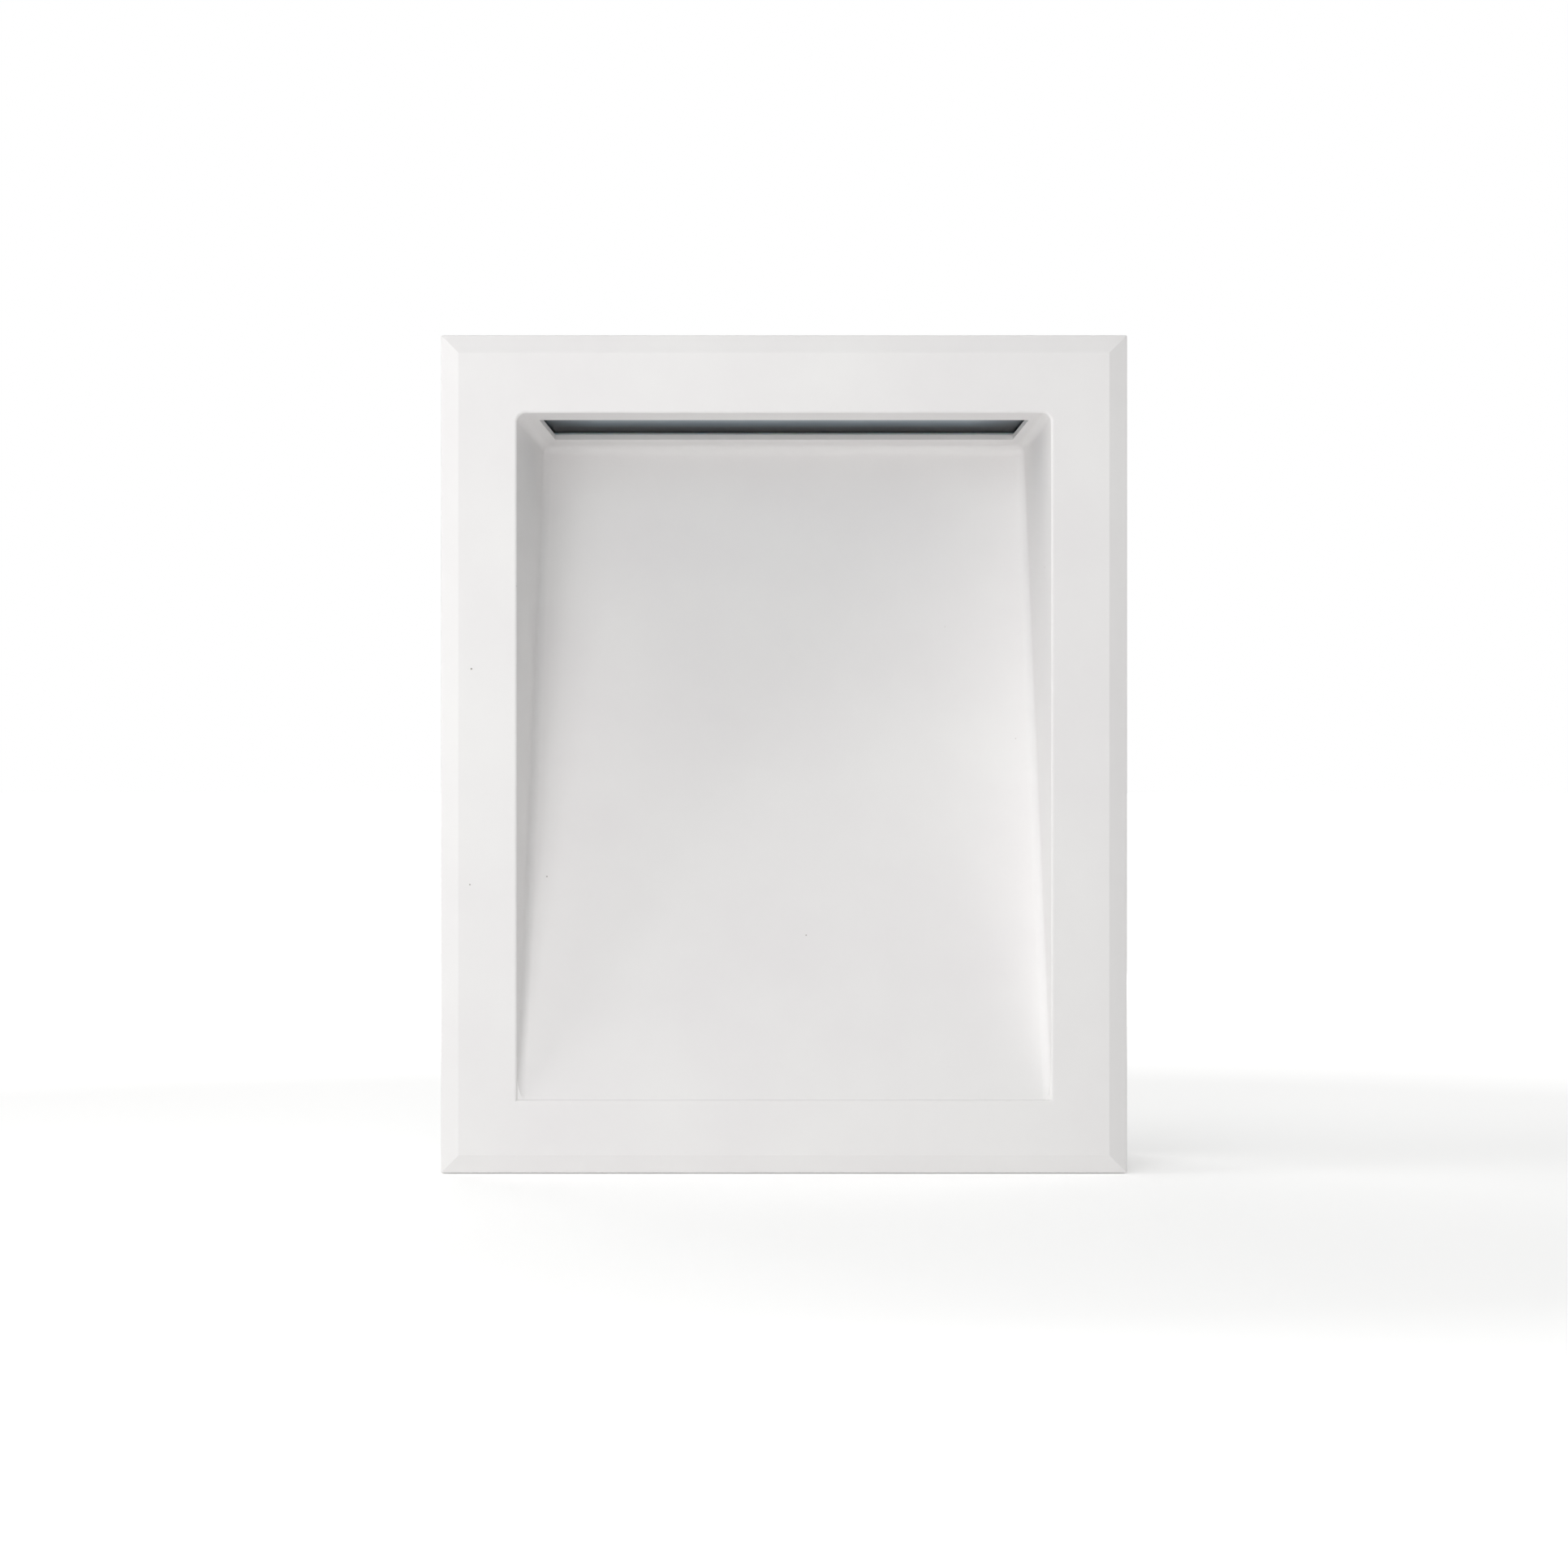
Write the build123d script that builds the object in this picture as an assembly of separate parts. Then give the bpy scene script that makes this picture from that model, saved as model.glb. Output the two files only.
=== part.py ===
"""Lit shadow box: a cast frame with a sloping recess, a lamp in the recess's ceiling and a rear cover.

Millimetres. +X is to the right of someone facing the front, +Y goes from the front to the back, +Z is up.
The origin is on the surface that the box stands on, under the middle of its width and depth.
Depths are measured from the front face, so a depth of 0 is the flat front flange.
"""

from build123d import *
from math import cos, radians, sin, tan
import os

# ---------------------------------------------------------------- overall sizes
overall_width = 228.6
overall_height = 279.4
overall_depth = 95.0
pad_stand_off = 0.3          # how far the rubber base pads lift the shell

# ---------------------------------------------------------------- cast front shell
flange_side = 25.4           # front flange, beside the opening
flange_top = 26.0
flange_bottom = 24.8
bevel_width = 6.0            # chamfer round the front's outer edge, across the front
bevel_depth = 2.0            # the same chamfer, along the sides
edge_softening = 0.5         # small rounding of the casting's outer edges
shell_wall = 6.0
recess_back_gap = 13.4       # recess's deepest edge to the back of the box
lip_depth = 1.2              # depth of the recess at its bottom lip
lip_radius = 0.9             # rounding of the opening's front edge
draft = 3.5                  # degrees, on the recess's sides and ceiling
recess_corner = 3.0          # inside corners of the recess
recess_wall = 5.0            # casting behind the recess
run_out = 20.0               # recess's cutting shape, in front of the front face
cavity_corner = 3.0
post_size = 10.0             # square posts for the rear cover's screws
cover_seat = 3.0             # width of the step that the rear cover drops into

# ---------------------------------------------------------------- lamp window
window_start = 17.0          # depth of the slot's front edge
window_back_gap = 16.6       # slot's back edge to the recess's deepest edge
window_end_inset = 5.5       # slot's ends to the recess's sides
glass_ledge = 1.8            # casting left under the glass
glass_overlap = 3.0          # glass beyond the slot, all round
glass_thickness = 3.0
gasket_thickness = 0.6
glass_clearance = 0.4        # round the glass in its pocket
glass_chamfer = 0.3          # ground edges
gasket_set_back = 0.6        # slot's edges to the gasket's

# ---------------------------------------------------------------- lamp tray
tray_sheet = 1.2
tray_height = 9.0            # above the casting's upper face
tray_margin = 1.0            # slot's edges to the tray's webs
tray_front_gap = 1.0         # front wall to the tray's front flange
tray_boss_gap = 2.0          # tray's back flange to the screw bosses
tray_end_margin = 2.0        # tray beyond the glass, at each end
ear_width = 14.0
ear_spacing = 60.0
ear_boss_length = 9.0
ear_boss_overhang = 4.4      # boss ends behind the recess's deepest edge
ear_boss_width = 10.0
lug_width = 16.0
lug_spacing = 45.0
lug_reach = 6.5
lug_height = 3.6
slip = 0.2                   # clearance between pieces that slide together
tape_thickness = 0.4
led_board_end_gap = 12.8     # tray's ends to the lamp board's
led_board_width = 12.0
led_board_thickness = 1.6
led_board_corner = 1.0
led_pitch = 8.0
led_end_gap = 12.0           # lamp board's connector to the last cell of the louvre, at least
led_size = (2.8, 3.5, 0.8)
led_connector_size = (6.0, 8.0, 4.0)
connector_softening = 0.4
baffle_gap = 0.6             # lamps to the louvre
baffle_wall = 1.0
baffle_rows = 4              # rows of cells, front to back
end_cap_thickness = 1.6

# ---------------------------------------------------------------- fasteners
m3_shank = 1.5               # radii
m3_head = 2.9
m3_head_height = 1.9
insert_radius = 2.3
insert_length = 6.0
small_shank = 1.1            # 2.2 mm self-tapping screws
small_head = 2.1
small_head_height = 1.4
cross_width_share = 0.45     # a cross recess's bars, as a share of its reach
pan_dome_share = 0.55        # a pan head's rounding, as a share of its height
pan_cross_share = 0.55       # a pan head's cross, as a share of its radius
pan_cross_depth_share = 0.6
flat_cross_share = 0.5       # a flat head's cross, as a share of its radius
flat_cross_depth_share = 0.7
static_gap = 0.05            # radial gap between a fastener and its hole
screw_hole_gap = 0.2         # radial gap in a clearance hole
cover_screw_length = 9.0
tray_screw_length = 6.0
holder_screw_length = 8.0
board_screw_length = 6.0
plate_screw_length = 3.4

# ---------------------------------------------------------------- rear cover
cover_thickness = 3.0
cover_gap = 0.3
cover_corner = 2.5
cover_edge = 0.4             # chamfer of the cover's outer edge
vent_count = 13
vent_width = 2.4
vent_height = 15.0
vent_pitch = 6.0
vent_from_top = 26.0         # overall top to the vents' upper ends

# ---------------------------------------------------------------- wall hangers
hanger_spacing = 120.0
hanger_from_top = 60.0
hanger_window = (16.0, 26.0)
hanger_plate = (22.0, 40.0, 1.2)
hanger_plate_corner = 2.0
hanger_screw_inset = 3.5     # plate's ends to its screws
hanger_entry_radius = 5.0
hanger_slot_radius = 2.3
hanger_drop = 9.0

# ---------------------------------------------------------------- battery compartment
battery_centre_height = 70.0
cell_radius = 7.1
cell_length = 49.2
cell_tip_radius = 2.75
cell_tip_length = 1.2
cell_edge = 0.5
cell_tip_edge = 0.4
cell_groove = (2.2, 0.6, 0.3)  # from the shoulder, width and depth
cell_set_back = 1.0          # cells to the cover's inner face
cell_count = 4
cell_gap = 0.8
spring_space = 5.5
bay_slack = 0.5              # above and below the cells
contact_thickness = 0.5
contact_reach = 4.5          # from a cell's axis
tag_reach = 3.5              # tags beyond the holder's wall
tag_half_width = 1.5
spring_wire = 0.35
spring_radius = 3.2
spring_turns = 3
spring_cone = -12.0          # degrees
holder_wall = 2.0
holder_flange_thickness = 2.4
holder_flange_reach = 8.0    # beyond the door's opening, all round
holder_flange_corner = 4.0
holder_screw_x = 30.0
holder_screw_out = 4.0       # door's opening to the holder's screws
cell_rib_height = 4.0
cell_rib_thickness = 1.0
cell_rib_end_gap = 8.0
door_side_margin = 11.55     # holder's walls to the door's opening, at each side
door_end_margin = 2.5        # the same above and below
door_thickness = 2.6
door_gap = 0.5
hinge_radius = 2.4
hinge_pin_radius = 1.0
hinge_running_gap = 0.05
hinge_side_gap = 0.8
hinge_end_gap = 0.4
hinge_relief = 0.6           # radial room round the knuckles in the holder's flange
hinge_notch_gap = 1.0        # cover's knuckles to the door's plate
hinge_pin_inset = 1.5
hinge_web_overlap = 1.0
door_corner = 1.0
cover_knuckle_length = 13.0
finger_radius = 7.0
grip_count = 5
grip_size = (1.2, 20.0, 0.5)  # width, length and depth of each groove
grip_pitch = 3.0
grip_from_edge = 11.0        # door's free edge to the nearest groove
magnet_radius = 3.5
magnet_thickness = 1.6
magnet_spread = 44.0
magnet_from_edge = 5.5       # door's opening to the magnets
keeper_thickness = 1.0

# ---------------------------------------------------------------- driver board
board_size = (60.0, 30.0, 1.6)
board_above_door = 34.0      # door's upper edge to the board's centre
board_stand_off = 5.0
board_hole_inset = 3.5
board_post_radius = 3.0
board_corner = 2.0
inductor_place = (-13.0, 0.0)  # X and Z from the board's centre
inductor_foot = (12.0, 12.0, 1.4)
inductor_foot_corner = 1.5
inductor_radius = 5.4
inductor_height = 4.6
inductor_edge = 0.8
capacitor_places = [(1.0, -7.2), (1.0, 7.2)]
capacitor_foot = (7.0, 7.0, 1.2)
capacitor_foot_corner = 1.0
capacitor_radius = 3.15
capacitor_height = 6.3
capacitor_edge = 0.5
chip_place = (11.0, 0.0)
chip_size = (5.0, 4.0, 1.6)
resistor_places = [(-23.2, -6.0), (-23.2, -2.0), (-23.2, 2.0), (-23.2, 6.0), (9.0, 6.7), (13.0, 6.7)]
resistor_size = (2.0, 1.4, 0.6)
connector_size = (6.5, 6.8, 5.0)
connector_mouth = (3.5, 5.6, 1.0)
connector_from_edge = 1.0    # board's right edge to the connectors
connector_offset = 5.0       # connectors above and below the board's centre
connector_wire_height = 2.6  # wires above the board

# ---------------------------------------------------------------- rocker switch
switch_well_depth = 7.0
well_wall = 2.4
well_margin = 3.5
switch_bezel = (15.0, 21.0, 2.0)
switch_body = (12.8, 19.0, 15.0)
bezel_corner = 1.2
switch_side_wall = 0.8
switch_end_wall = 0.6
rocker_rise = 2.0
rocker_keel = 3.0            # rocker below its pivot
rocker_edge = 0.4
pivot_above_floor = 0.6      # well's floor to the rocker's pivot
bezel_edge = 0.5
rocker_slope = 10.0          # degrees, each half of the rocker's face
rocker_travel = 14.0         # degrees, off to on
rocker_clearance = 0.4
rocker_floor = 5.6           # pivot to the floor of the housing
trunnion_radius = 1.2
trunnion_length = 0.8
trunnion_end_gap = 0.1
terminal_size = (4.8, 0.8, 7.0)
terminal_spacing = 10.0

# ---------------------------------------------------------------- base pads and wires
pad_radius = 6.0
pad_pocket = 1.2
pad_edge_distance = 14.0
pad_edge_share = 0.9         # rounding of a pad's lower edge, as a share of its stand-off
wire_radius = 0.7
wire_spacing = 1.9
wire_bend = 6.0
tight_wire_bend = 4.5
lane_gap = 4.0               # outside of the recess's wall to the lamp's wires
red_lead_run = 17.0          # holder's tags to the leads' first bends
black_lead_run = 16.0
terminal_run = 14.0          # switch's tabs to the bends in front of them
switch_lead_rise = 36.0      # upper tab to the switch lead's second bend
connector_run = 26.0         # connectors to the switch lead's last bend
lead_step = 6.0
wire_pair_offset = 1.2       # a connector's middle to each of its two wires
clip_post_half = 2.0
clip_below_hanger = 40.0     # hangers to the lowest clip
clip_pitch = 25.0
clip_count = 3
clip_size = (9.0, 6.0, 5.0)

# ---------------------------------------------------------------- derived sizes
half_width = overall_width / 2
half_depth = overall_depth / 2
base = pad_stand_off
opening_half = half_width - flange_side
opening_top = overall_height - flange_top
opening_bottom = flange_bottom
slope_in = tan(radians(draft))
recess_depth = overall_depth - recess_back_gap
cover_front = overall_depth - cover_thickness
cover_half_width = half_width - cover_seat - cover_gap
cover_top = overall_height - cover_seat - cover_gap
cover_bottom = base + cover_seat + cover_gap
post_x = half_width - shell_wall - post_size / 2
post_low = base + shell_wall + post_size / 2
post_high = overall_height - shell_wall - post_size / 2
post_middle = (post_low + post_high) / 2


def at_depth(distance):
    """Y of a point this far behind the front face."""
    return distance - half_depth


def block(x_range, depth_range, z_range):
    """A box between two X, two depths and two Z."""
    size = [high - low for low, high in (x_range, depth_range, z_range)]
    middle = ((x_range[0] + x_range[1]) / 2, at_depth(sum(depth_range) / 2), sum(z_range) / 2)
    return Pos(*middle) * Box(*size)


def facing_back(x, distance, z):
    """A place on a plane that looks out of the back: local Z is +Y."""
    return Plane(origin=(x, at_depth(distance), z), x_dir=(-1, 0, 0), z_dir=(0, 1, 0)).location


def facing_front(x, distance, z):
    """A place on a plane that looks towards the front: local Z is -Y."""
    return Plane(origin=(x, at_depth(distance), z), x_dir=(1, 0, 0), z_dir=(0, -1, 0)).location


def rounded_plate(width, height, thickness, corner):
    """A plate in the local XY plane, from local Z 0 up, with round corners."""
    return extrude(RectangleRounded(width, height, corner), thickness)


def rod(radius, length):
    """A cylinder from local Z 0 up."""
    return Cylinder(radius, length, align=(Align.CENTER, Align.CENTER, Align.MIN))


def cross_recess(reach, deep):
    """The cross cut in a screw's head, down from local Z 0."""
    bar = Box(2 * reach, reach * cross_width_share, deep, align=(Align.CENTER, Align.CENTER, Align.MAX))
    return bar + Rot(0, 0, 90) * bar


def pan_screw(head, head_height, shank, length):
    """A pan-head screw: its shank goes down from local Z 0 and its head stands up."""
    cap = rod(head, head_height)
    cap = fillet(cap.edges().sort_by(Axis.Z)[-1], head_height * pan_dome_share)
    cross = cross_recess(head * pan_cross_share, head_height * pan_cross_depth_share)
    cap -= Pos(0, 0, head_height) * cross
    return cap + Pos(0, 0, -length) * rod(shank, length)


def flat_screw(head, shank, length):
    """A countersunk screw whose head is level with local Z 0."""
    taper = head - shank
    cap = Pos(0, 0, -taper / 2) * Cone(shank, head, taper)
    cap -= cross_recess(head * flat_cross_share, taper * flat_cross_depth_share)
    return cap + Pos(0, 0, -length) * rod(shank, length - taper)


def countersink(head, shank, thickness):
    """The hole that a countersunk screw drops into, down from local Z 0."""
    taper = head - shank
    cone = Pos(0, 0, -taper / 2) * Cone(shank + screw_hole_gap, head + screw_hole_gap, taper)
    return cone + Pos(0, 0, -thickness) * rod(shank + screw_hole_gap, thickness)


def insert_ring(length):
    """A brass insert, down from local Z 0."""
    ring = Pos(0, 0, -length) * rod(insert_radius - static_gap, length)
    return ring - Pos(0, 0, -length) * rod(m3_shank + static_gap, length)


def insert_hole(length):
    """The hole for an insert, down from local Z 0."""
    return Pos(0, 0, -length - 1) * rod(insert_radius, length + 1)


def slot_plate(width, height, thickness):
    """An upright plate with half-round ends in the local XY plane, from local Z 0 up."""
    return extrude(SlotOverall(height, width, rotation=90), thickness)


def save(name, *solids):
    """Write one node: one solid, or a group of separate ones."""
    shape = solids[0] if len(solids) == 1 else Compound(children=list(solids))
    export_step(shape, f"parts/{name}.step")


# ---------------------------------------------------------------- the recess
def recess_solid(grow):
    """The hollow of the recess, run out through the front face; grow offsets every side of it."""
    ceiling_back = opening_top - recess_depth * slope_in
    profile = Polyline(
        (at_depth(-run_out), opening_top + run_out * slope_in),
        (at_depth(recess_depth), ceiling_back),
        (at_depth(lip_depth), opening_bottom),
        (at_depth(-run_out), opening_bottom),
        close=True,
    )
    face = make_face(Plane.YZ * profile)
    if grow:
        face = offset(face, amount=grow, kind=Kind.INTERSECTION)
    solid = extrude(face, half_width, dir=(1, 0, 0), both=True)
    side_x = opening_half + grow / cos(radians(draft))
    for side in (-1, 1):
        normal = (side * cos(radians(draft)), sin(radians(draft)), 0)
        wall = Plane(origin=(side * side_x, at_depth(0), 0), z_dir=normal)
        solid = split(solid, bisect_by=wall, keep=Keep.BOTTOM)
    return solid


def recess_cut():
    """The recess with rounded inside corners, except that its lower corners are square at the lip."""
    solid = recess_solid(0)
    inside = [
        edge for edge in solid.edges()
        if edge.center().Z > opening_bottom + 1 and edge.center().Y > at_depth(0)
    ]
    middle = (opening_top + opening_bottom) / 2
    upper = [edge for edge in inside if edge.center().Z > middle and abs(edge.center().X) > 1]
    mouth = fillet(upper, recess_corner)
    mouth &= block((-half_width, half_width), (-run_out, lip_depth), (0, overall_height))
    return fillet(inside, recess_corner) + mouth


# ---------------------------------------------------------------- lamp frame
window_end = recess_depth - window_back_gap
window_centre = (window_start + window_end) / 2
window_half = (window_end - window_start) / 2
ceiling_wall = glass_ledge + 2 * gasket_thickness + glass_thickness
slot_front_half = opening_half - window_start * slope_in - window_end_inset
slot_back_half = opening_half - window_end * slope_in - window_end_inset
pocket_half_length = slot_front_half + glass_overlap + glass_clearance
pocket_half_width = window_half + glass_overlap + glass_clearance
tray_half_length = pocket_half_length + tray_end_margin
tray_inside = window_half + tray_margin
tray_web = tray_inside + tray_sheet
tray_front = shell_wall + tray_front_gap - window_centre
tray_top = ceiling_wall + tray_height
ear_boss_end = recess_depth + ear_boss_overhang - window_centre
ear_boss_start = ear_boss_end - ear_boss_length
tray_back = ear_boss_start - tray_boss_gap
ear_boss_top = tray_top - tray_sheet - slip
ear_screw_height = (ceiling_wall + ear_boss_top) / 2
ear_places = [-ear_spacing, 0.0, ear_spacing]
lamp_plane = Plane(
    origin=(0, at_depth(window_centre), opening_top - window_centre * slope_in),
    x_dir=(1, 0, 0),
    z_dir=(0, sin(radians(draft)), cos(radians(draft))),
)


def in_lamp(shape):
    """Move a shape from the lamp's frame: Y goes back along the ceiling, Z stands up from it."""
    return lamp_plane.location * shape


def lamp_block(x_range, v_range, w_range):
    """A box in the lamp's frame."""
    size = [high - low for low, high in (x_range, v_range, w_range)]
    middle = [(low + high) / 2 for low, high in (x_range, v_range, w_range)]
    return Pos(*middle) * Box(*size)


def lamp_facing_back(x, v, w):
    """A place in the lamp's frame whose local Z looks along the ceiling towards the back."""
    return Plane(origin=(x, v, w), x_dir=(-1, 0, 0), z_dir=(0, 1, 0)).location


# ---------------------------------------------------------------- cast shell
def post_places():
    """X and Z of the six posts that take the cover's screws."""
    return [(side * post_x, z) for side in (-1, 1) for z in (post_low, post_middle, post_high)]


def outer_casting():
    """The solid outside shape: a block with a mitred bevel round its front and softened edges."""
    body = block((-half_width, half_width), (0, overall_depth), (base, overall_height))
    front = body.faces().sort_by(Axis.Y)[0]
    body = chamfer(front.edges(), bevel_width, bevel_depth, reference=front)
    not_back = [edge for edge in body.edges() if edge.center().Y < at_depth(overall_depth) - 1]
    return fillet(not_back, edge_softening)


def round_lip(shell):
    """Round the front edge of the opening."""
    tolerance = 0.01
    lip = [
        edge for edge in shell.edges()
        if abs(edge.center().Y - at_depth(0)) < tolerance
        and abs(edge.center().X) < opening_half + tolerance
        and opening_bottom - tolerance < edge.center().Z < opening_top + tolerance
    ]
    return fillet(lip, lip_radius)


def ceiling_outline():
    """The ceiling's upper face in the lamp's frame, tapered like the recess."""
    front = opening_half + recess_wall
    back = front - recess_depth * slope_in
    start = -window_centre
    end = recess_depth - window_centre
    return Polyline((-front, start), (front, start), (back, end), (-back, end), close=True)


def front_shell():
    """Flange, bevel, outer walls, recess, lamp window pocket, posts and lugs in one casting."""
    inner_half = half_width - shell_wall
    cavity = block(
        (-inner_half, inner_half),
        (shell_wall, overall_depth),
        (base + shell_wall, overall_height - shell_wall),
    )
    cavity = fillet(cavity.edges().filter_by(Axis.Y), cavity_corner)
    slab = in_lamp(extrude(make_face(ceiling_outline()), ceiling_wall))
    hollow = cavity - recess_solid(recess_wall) - slab
    shell = outer_casting() - hollow
    for x, z in post_places():
        shell += block(
            (x - post_size / 2, x + post_size / 2),
            (shell_wall / 2, cover_front),
            (z - post_size / 2, z + post_size / 2),
        )
    for x in ear_places:
        shell += in_lamp(lamp_block(
            (x - ear_boss_width / 2, x + ear_boss_width / 2),
            (ear_boss_start, ear_boss_end),
            (ceiling_wall / 2, ear_boss_top),
        ))
    for side in (-1, 1):
        x = side * lug_spacing
        front_v = shell_wall - window_centre
        shell += in_lamp(lamp_block(
            (x - lug_width / 2, x + lug_width / 2),
            (front_v - shell_wall / 2, front_v + lug_reach),
            (ceiling_wall + tray_sheet + slip, ceiling_wall + tray_sheet + slip + lug_height),
        ))
    shell -= recess_cut()
    shell = round_lip(shell)
    slot = Polyline(
        (-slot_front_half, -window_half),
        (slot_front_half, -window_half),
        (slot_back_half, window_half),
        (-slot_back_half, window_half),
        close=True,
    )
    shell -= in_lamp(extrude(make_face(slot), ceiling_wall, both=True))
    shell -= in_lamp(lamp_block(
        (-pocket_half_length, pocket_half_length),
        (-pocket_half_width, pocket_half_width),
        (glass_ledge, ceiling_wall + 1),
    ))
    seat_half = half_width - cover_seat
    shell -= block(
        (-seat_half, seat_half),
        (cover_front, overall_depth + 1),
        (base + cover_seat, overall_height - cover_seat),
    )
    for x, z in post_places():
        shell -= facing_back(x, cover_front, z) * insert_hole(insert_length)
    for x in ear_places:
        shell -= in_lamp(lamp_facing_back(x, ear_boss_end, ear_screw_height) * insert_hole(insert_length))
    for x, distance in pad_places():
        shell -= Pos(x, at_depth(distance), base - 1) * rod(pad_radius + static_gap, 1 + pad_pocket)
    return shell


def pad_places():
    """X and depth of the base pads."""
    depths = (pad_edge_distance, overall_depth - pad_edge_distance)
    return [(side * (half_width - pad_edge_distance), distance) for side in (-1, 1) for distance in depths]


# ---------------------------------------------------------------- lamp pieces
def window_ring(bottom):
    """A flat ring between the glass and the casting or the tray, from this height up."""
    outer = lamp_block(
        (-pocket_half_length + slip, pocket_half_length - slip),
        (-pocket_half_width + slip, pocket_half_width - slip),
        (bottom, bottom + gasket_thickness),
    )
    inner = lamp_block(
        (-slot_front_half - gasket_set_back, slot_front_half + gasket_set_back),
        (-window_half - gasket_set_back, window_half + gasket_set_back),
        (bottom - 1, bottom + gasket_thickness + 1),
    )
    return in_lamp(outer - inner)


def window_glass():
    """The glass strip, with ground edges."""
    pane = lamp_block(
        (-pocket_half_length + glass_clearance, pocket_half_length - glass_clearance),
        (-pocket_half_width + glass_clearance, pocket_half_width - glass_clearance),
        (glass_ledge + gasket_thickness, glass_ledge + gasket_thickness + glass_thickness),
    )
    return in_lamp(chamfer(pane.edges(), glass_chamfer))


def lamp_tray():
    """A hat-section tray with three ears that reach back over the screw bosses."""
    across = (-tray_half_length, tray_half_length)
    tray = lamp_block(across, (-tray_web, tray_web), (tray_top - tray_sheet, tray_top))
    for low, high, foot in ((-tray_web, -tray_inside, tray_front), (tray_inside, tray_web, tray_back)):
        tray += lamp_block(across, (low, high), (ceiling_wall, tray_top))
        tray += lamp_block(
            across,
            (min(low, foot), max(high, foot)),
            (ceiling_wall, ceiling_wall + tray_sheet),
        )
    for x in ear_places:
        sides = (x - ear_width / 2, x + ear_width / 2)
        reach = (tray_inside, ear_boss_end + tray_sheet)
        tray += lamp_block(sides, reach, (tray_top - tray_sheet, tray_top))
        tray += lamp_block(
            sides,
            (ear_boss_end, ear_boss_end + tray_sheet),
            (ceiling_wall + slip, tray_top),
        )
        hole = rod(m3_shank + screw_hole_gap, 2 * tray_sheet)
        tray -= lamp_facing_back(x, ear_boss_end - tray_sheet / 2, ear_screw_height) * hole
    return in_lamp(tray)


def tray_screws():
    """Pan-head screws through the tray's ears."""
    screw = pan_screw(m3_head, m3_head_height, m3_shank, tray_screw_length)
    return [
        in_lamp(lamp_facing_back(x, ear_boss_end + tray_sheet, ear_screw_height) * screw)
        for x in ear_places
    ]


def tray_inserts():
    """Brass inserts in the tray's bosses."""
    ring = insert_ring(insert_length)
    return [in_lamp(lamp_facing_back(x, ear_boss_end, ear_screw_height) * ring) for x in ear_places]


led_board_length = 2 * (tray_half_length - led_board_end_gap)
led_pairs = int((led_board_length / 2 - led_connector_size[0] - led_end_gap) / led_pitch)
led_count = 2 * led_pairs + 1
tape_bottom = tray_top - tray_sheet - tape_thickness
board_bottom = tape_bottom - led_board_thickness
connector_x = led_board_length / 2 - led_connector_size[0]
lead_height = board_bottom - led_connector_size[2] / 2


def thermal_tape():
    """The tape between the lamp board and the tray."""
    half = led_board_length / 2
    edge = led_board_width / 2
    return in_lamp(lamp_block((-half, half), (-edge, edge), (tape_bottom, tape_bottom + tape_thickness)))


def led_board():
    """The lamp board."""
    half = led_board_length / 2
    edge = led_board_width / 2
    board = lamp_block((-half, half), (-edge, edge), (board_bottom, tape_bottom))
    return in_lamp(fillet(board.edges().filter_by(Axis.Z), led_board_corner))


def led_chips():
    """A row of chips on the board's lower face."""
    first = -(led_count - 1) * led_pitch / 2
    chip = Box(*led_size)
    height = board_bottom - led_size[2] / 2
    return [in_lamp(Pos(first + index * led_pitch, 0, height) * chip) for index in range(led_count)]


def led_connector():
    """The wire connector at the board's right end, with a slot for each wire."""
    length, width, height = led_connector_size
    body = lamp_block(
        (connector_x, connector_x + length),
        (-width / 2, width / 2),
        (board_bottom - height, board_bottom),
    )
    return in_lamp(fillet(body.edges().filter_by(Axis.X), connector_softening))


def glare_baffle():
    """A louvre of thin blades between the lamps and the glass."""
    half = led_count * led_pitch / 2
    levels = (ceiling_wall + 2 * slip, board_bottom - led_size[2] - baffle_gap)
    edge = baffle_wall / 2
    blades = []
    for index in range(led_count + 1):
        x = -half + index * led_pitch
        blades.append(lamp_block((x - edge, x + edge), (-tray_inside, tray_inside), levels))
    run = 2 * (tray_inside - edge)
    for index in range(baffle_rows + 1):
        v = -run / 2 + index * run / baffle_rows
        blades.append(lamp_block((-half, half), (v - edge, v + edge), levels))
    return in_lamp(Part() + blades)


def lamp_end_caps():
    """Caps in the tray's two ends; the right one has a notch for the lamp's wires."""
    caps = []
    for side in (-1, 1):
        edges = sorted((side * (tray_half_length - end_cap_thickness), side * tray_half_length))
        cap = lamp_block(edges, (-tray_inside, tray_inside), (ceiling_wall, tray_top - tray_sheet))
        if side > 0:
            reach = wire_spacing + 2 * wire_radius
            cap -= lamp_block(
                (edges[0] - 1, edges[1] + 1),
                (-reach / 2, reach),
                (lead_height - 2 * wire_radius, lead_height + 2 * wire_radius),
            )
        caps.append(in_lamp(cap))
    return caps


# ---------------------------------------------------------------- rear cover
cell_pitch = 2 * cell_radius + cell_gap
bay_half_length = (cell_length + cell_tip_length + spring_space) / 2 + contact_thickness
bay_half_height = cell_count * cell_pitch / 2 + bay_slack
door_width = 2 * (bay_half_length + holder_wall + door_side_margin)
door_height = 2 * (bay_half_height + holder_wall + door_end_margin)
door_low = battery_centre_height - door_height / 2
door_high = battery_centre_height + door_height / 2
hinge_x = -door_width / 2 + hinge_side_gap + hinge_radius
hinge_depth = overall_depth - hinge_radius
hinge_inner = door_height / 2 - cover_knuckle_length
door_inner_face = overall_depth - door_thickness
holder_screw_offset = door_height / 2 + holder_screw_out
holder_side = door_width / 2 + holder_flange_reach
switch_x = (holder_side + half_width - shell_wall) / 2
switch_height = battery_centre_height
well_floor = overall_depth - switch_well_depth
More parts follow.
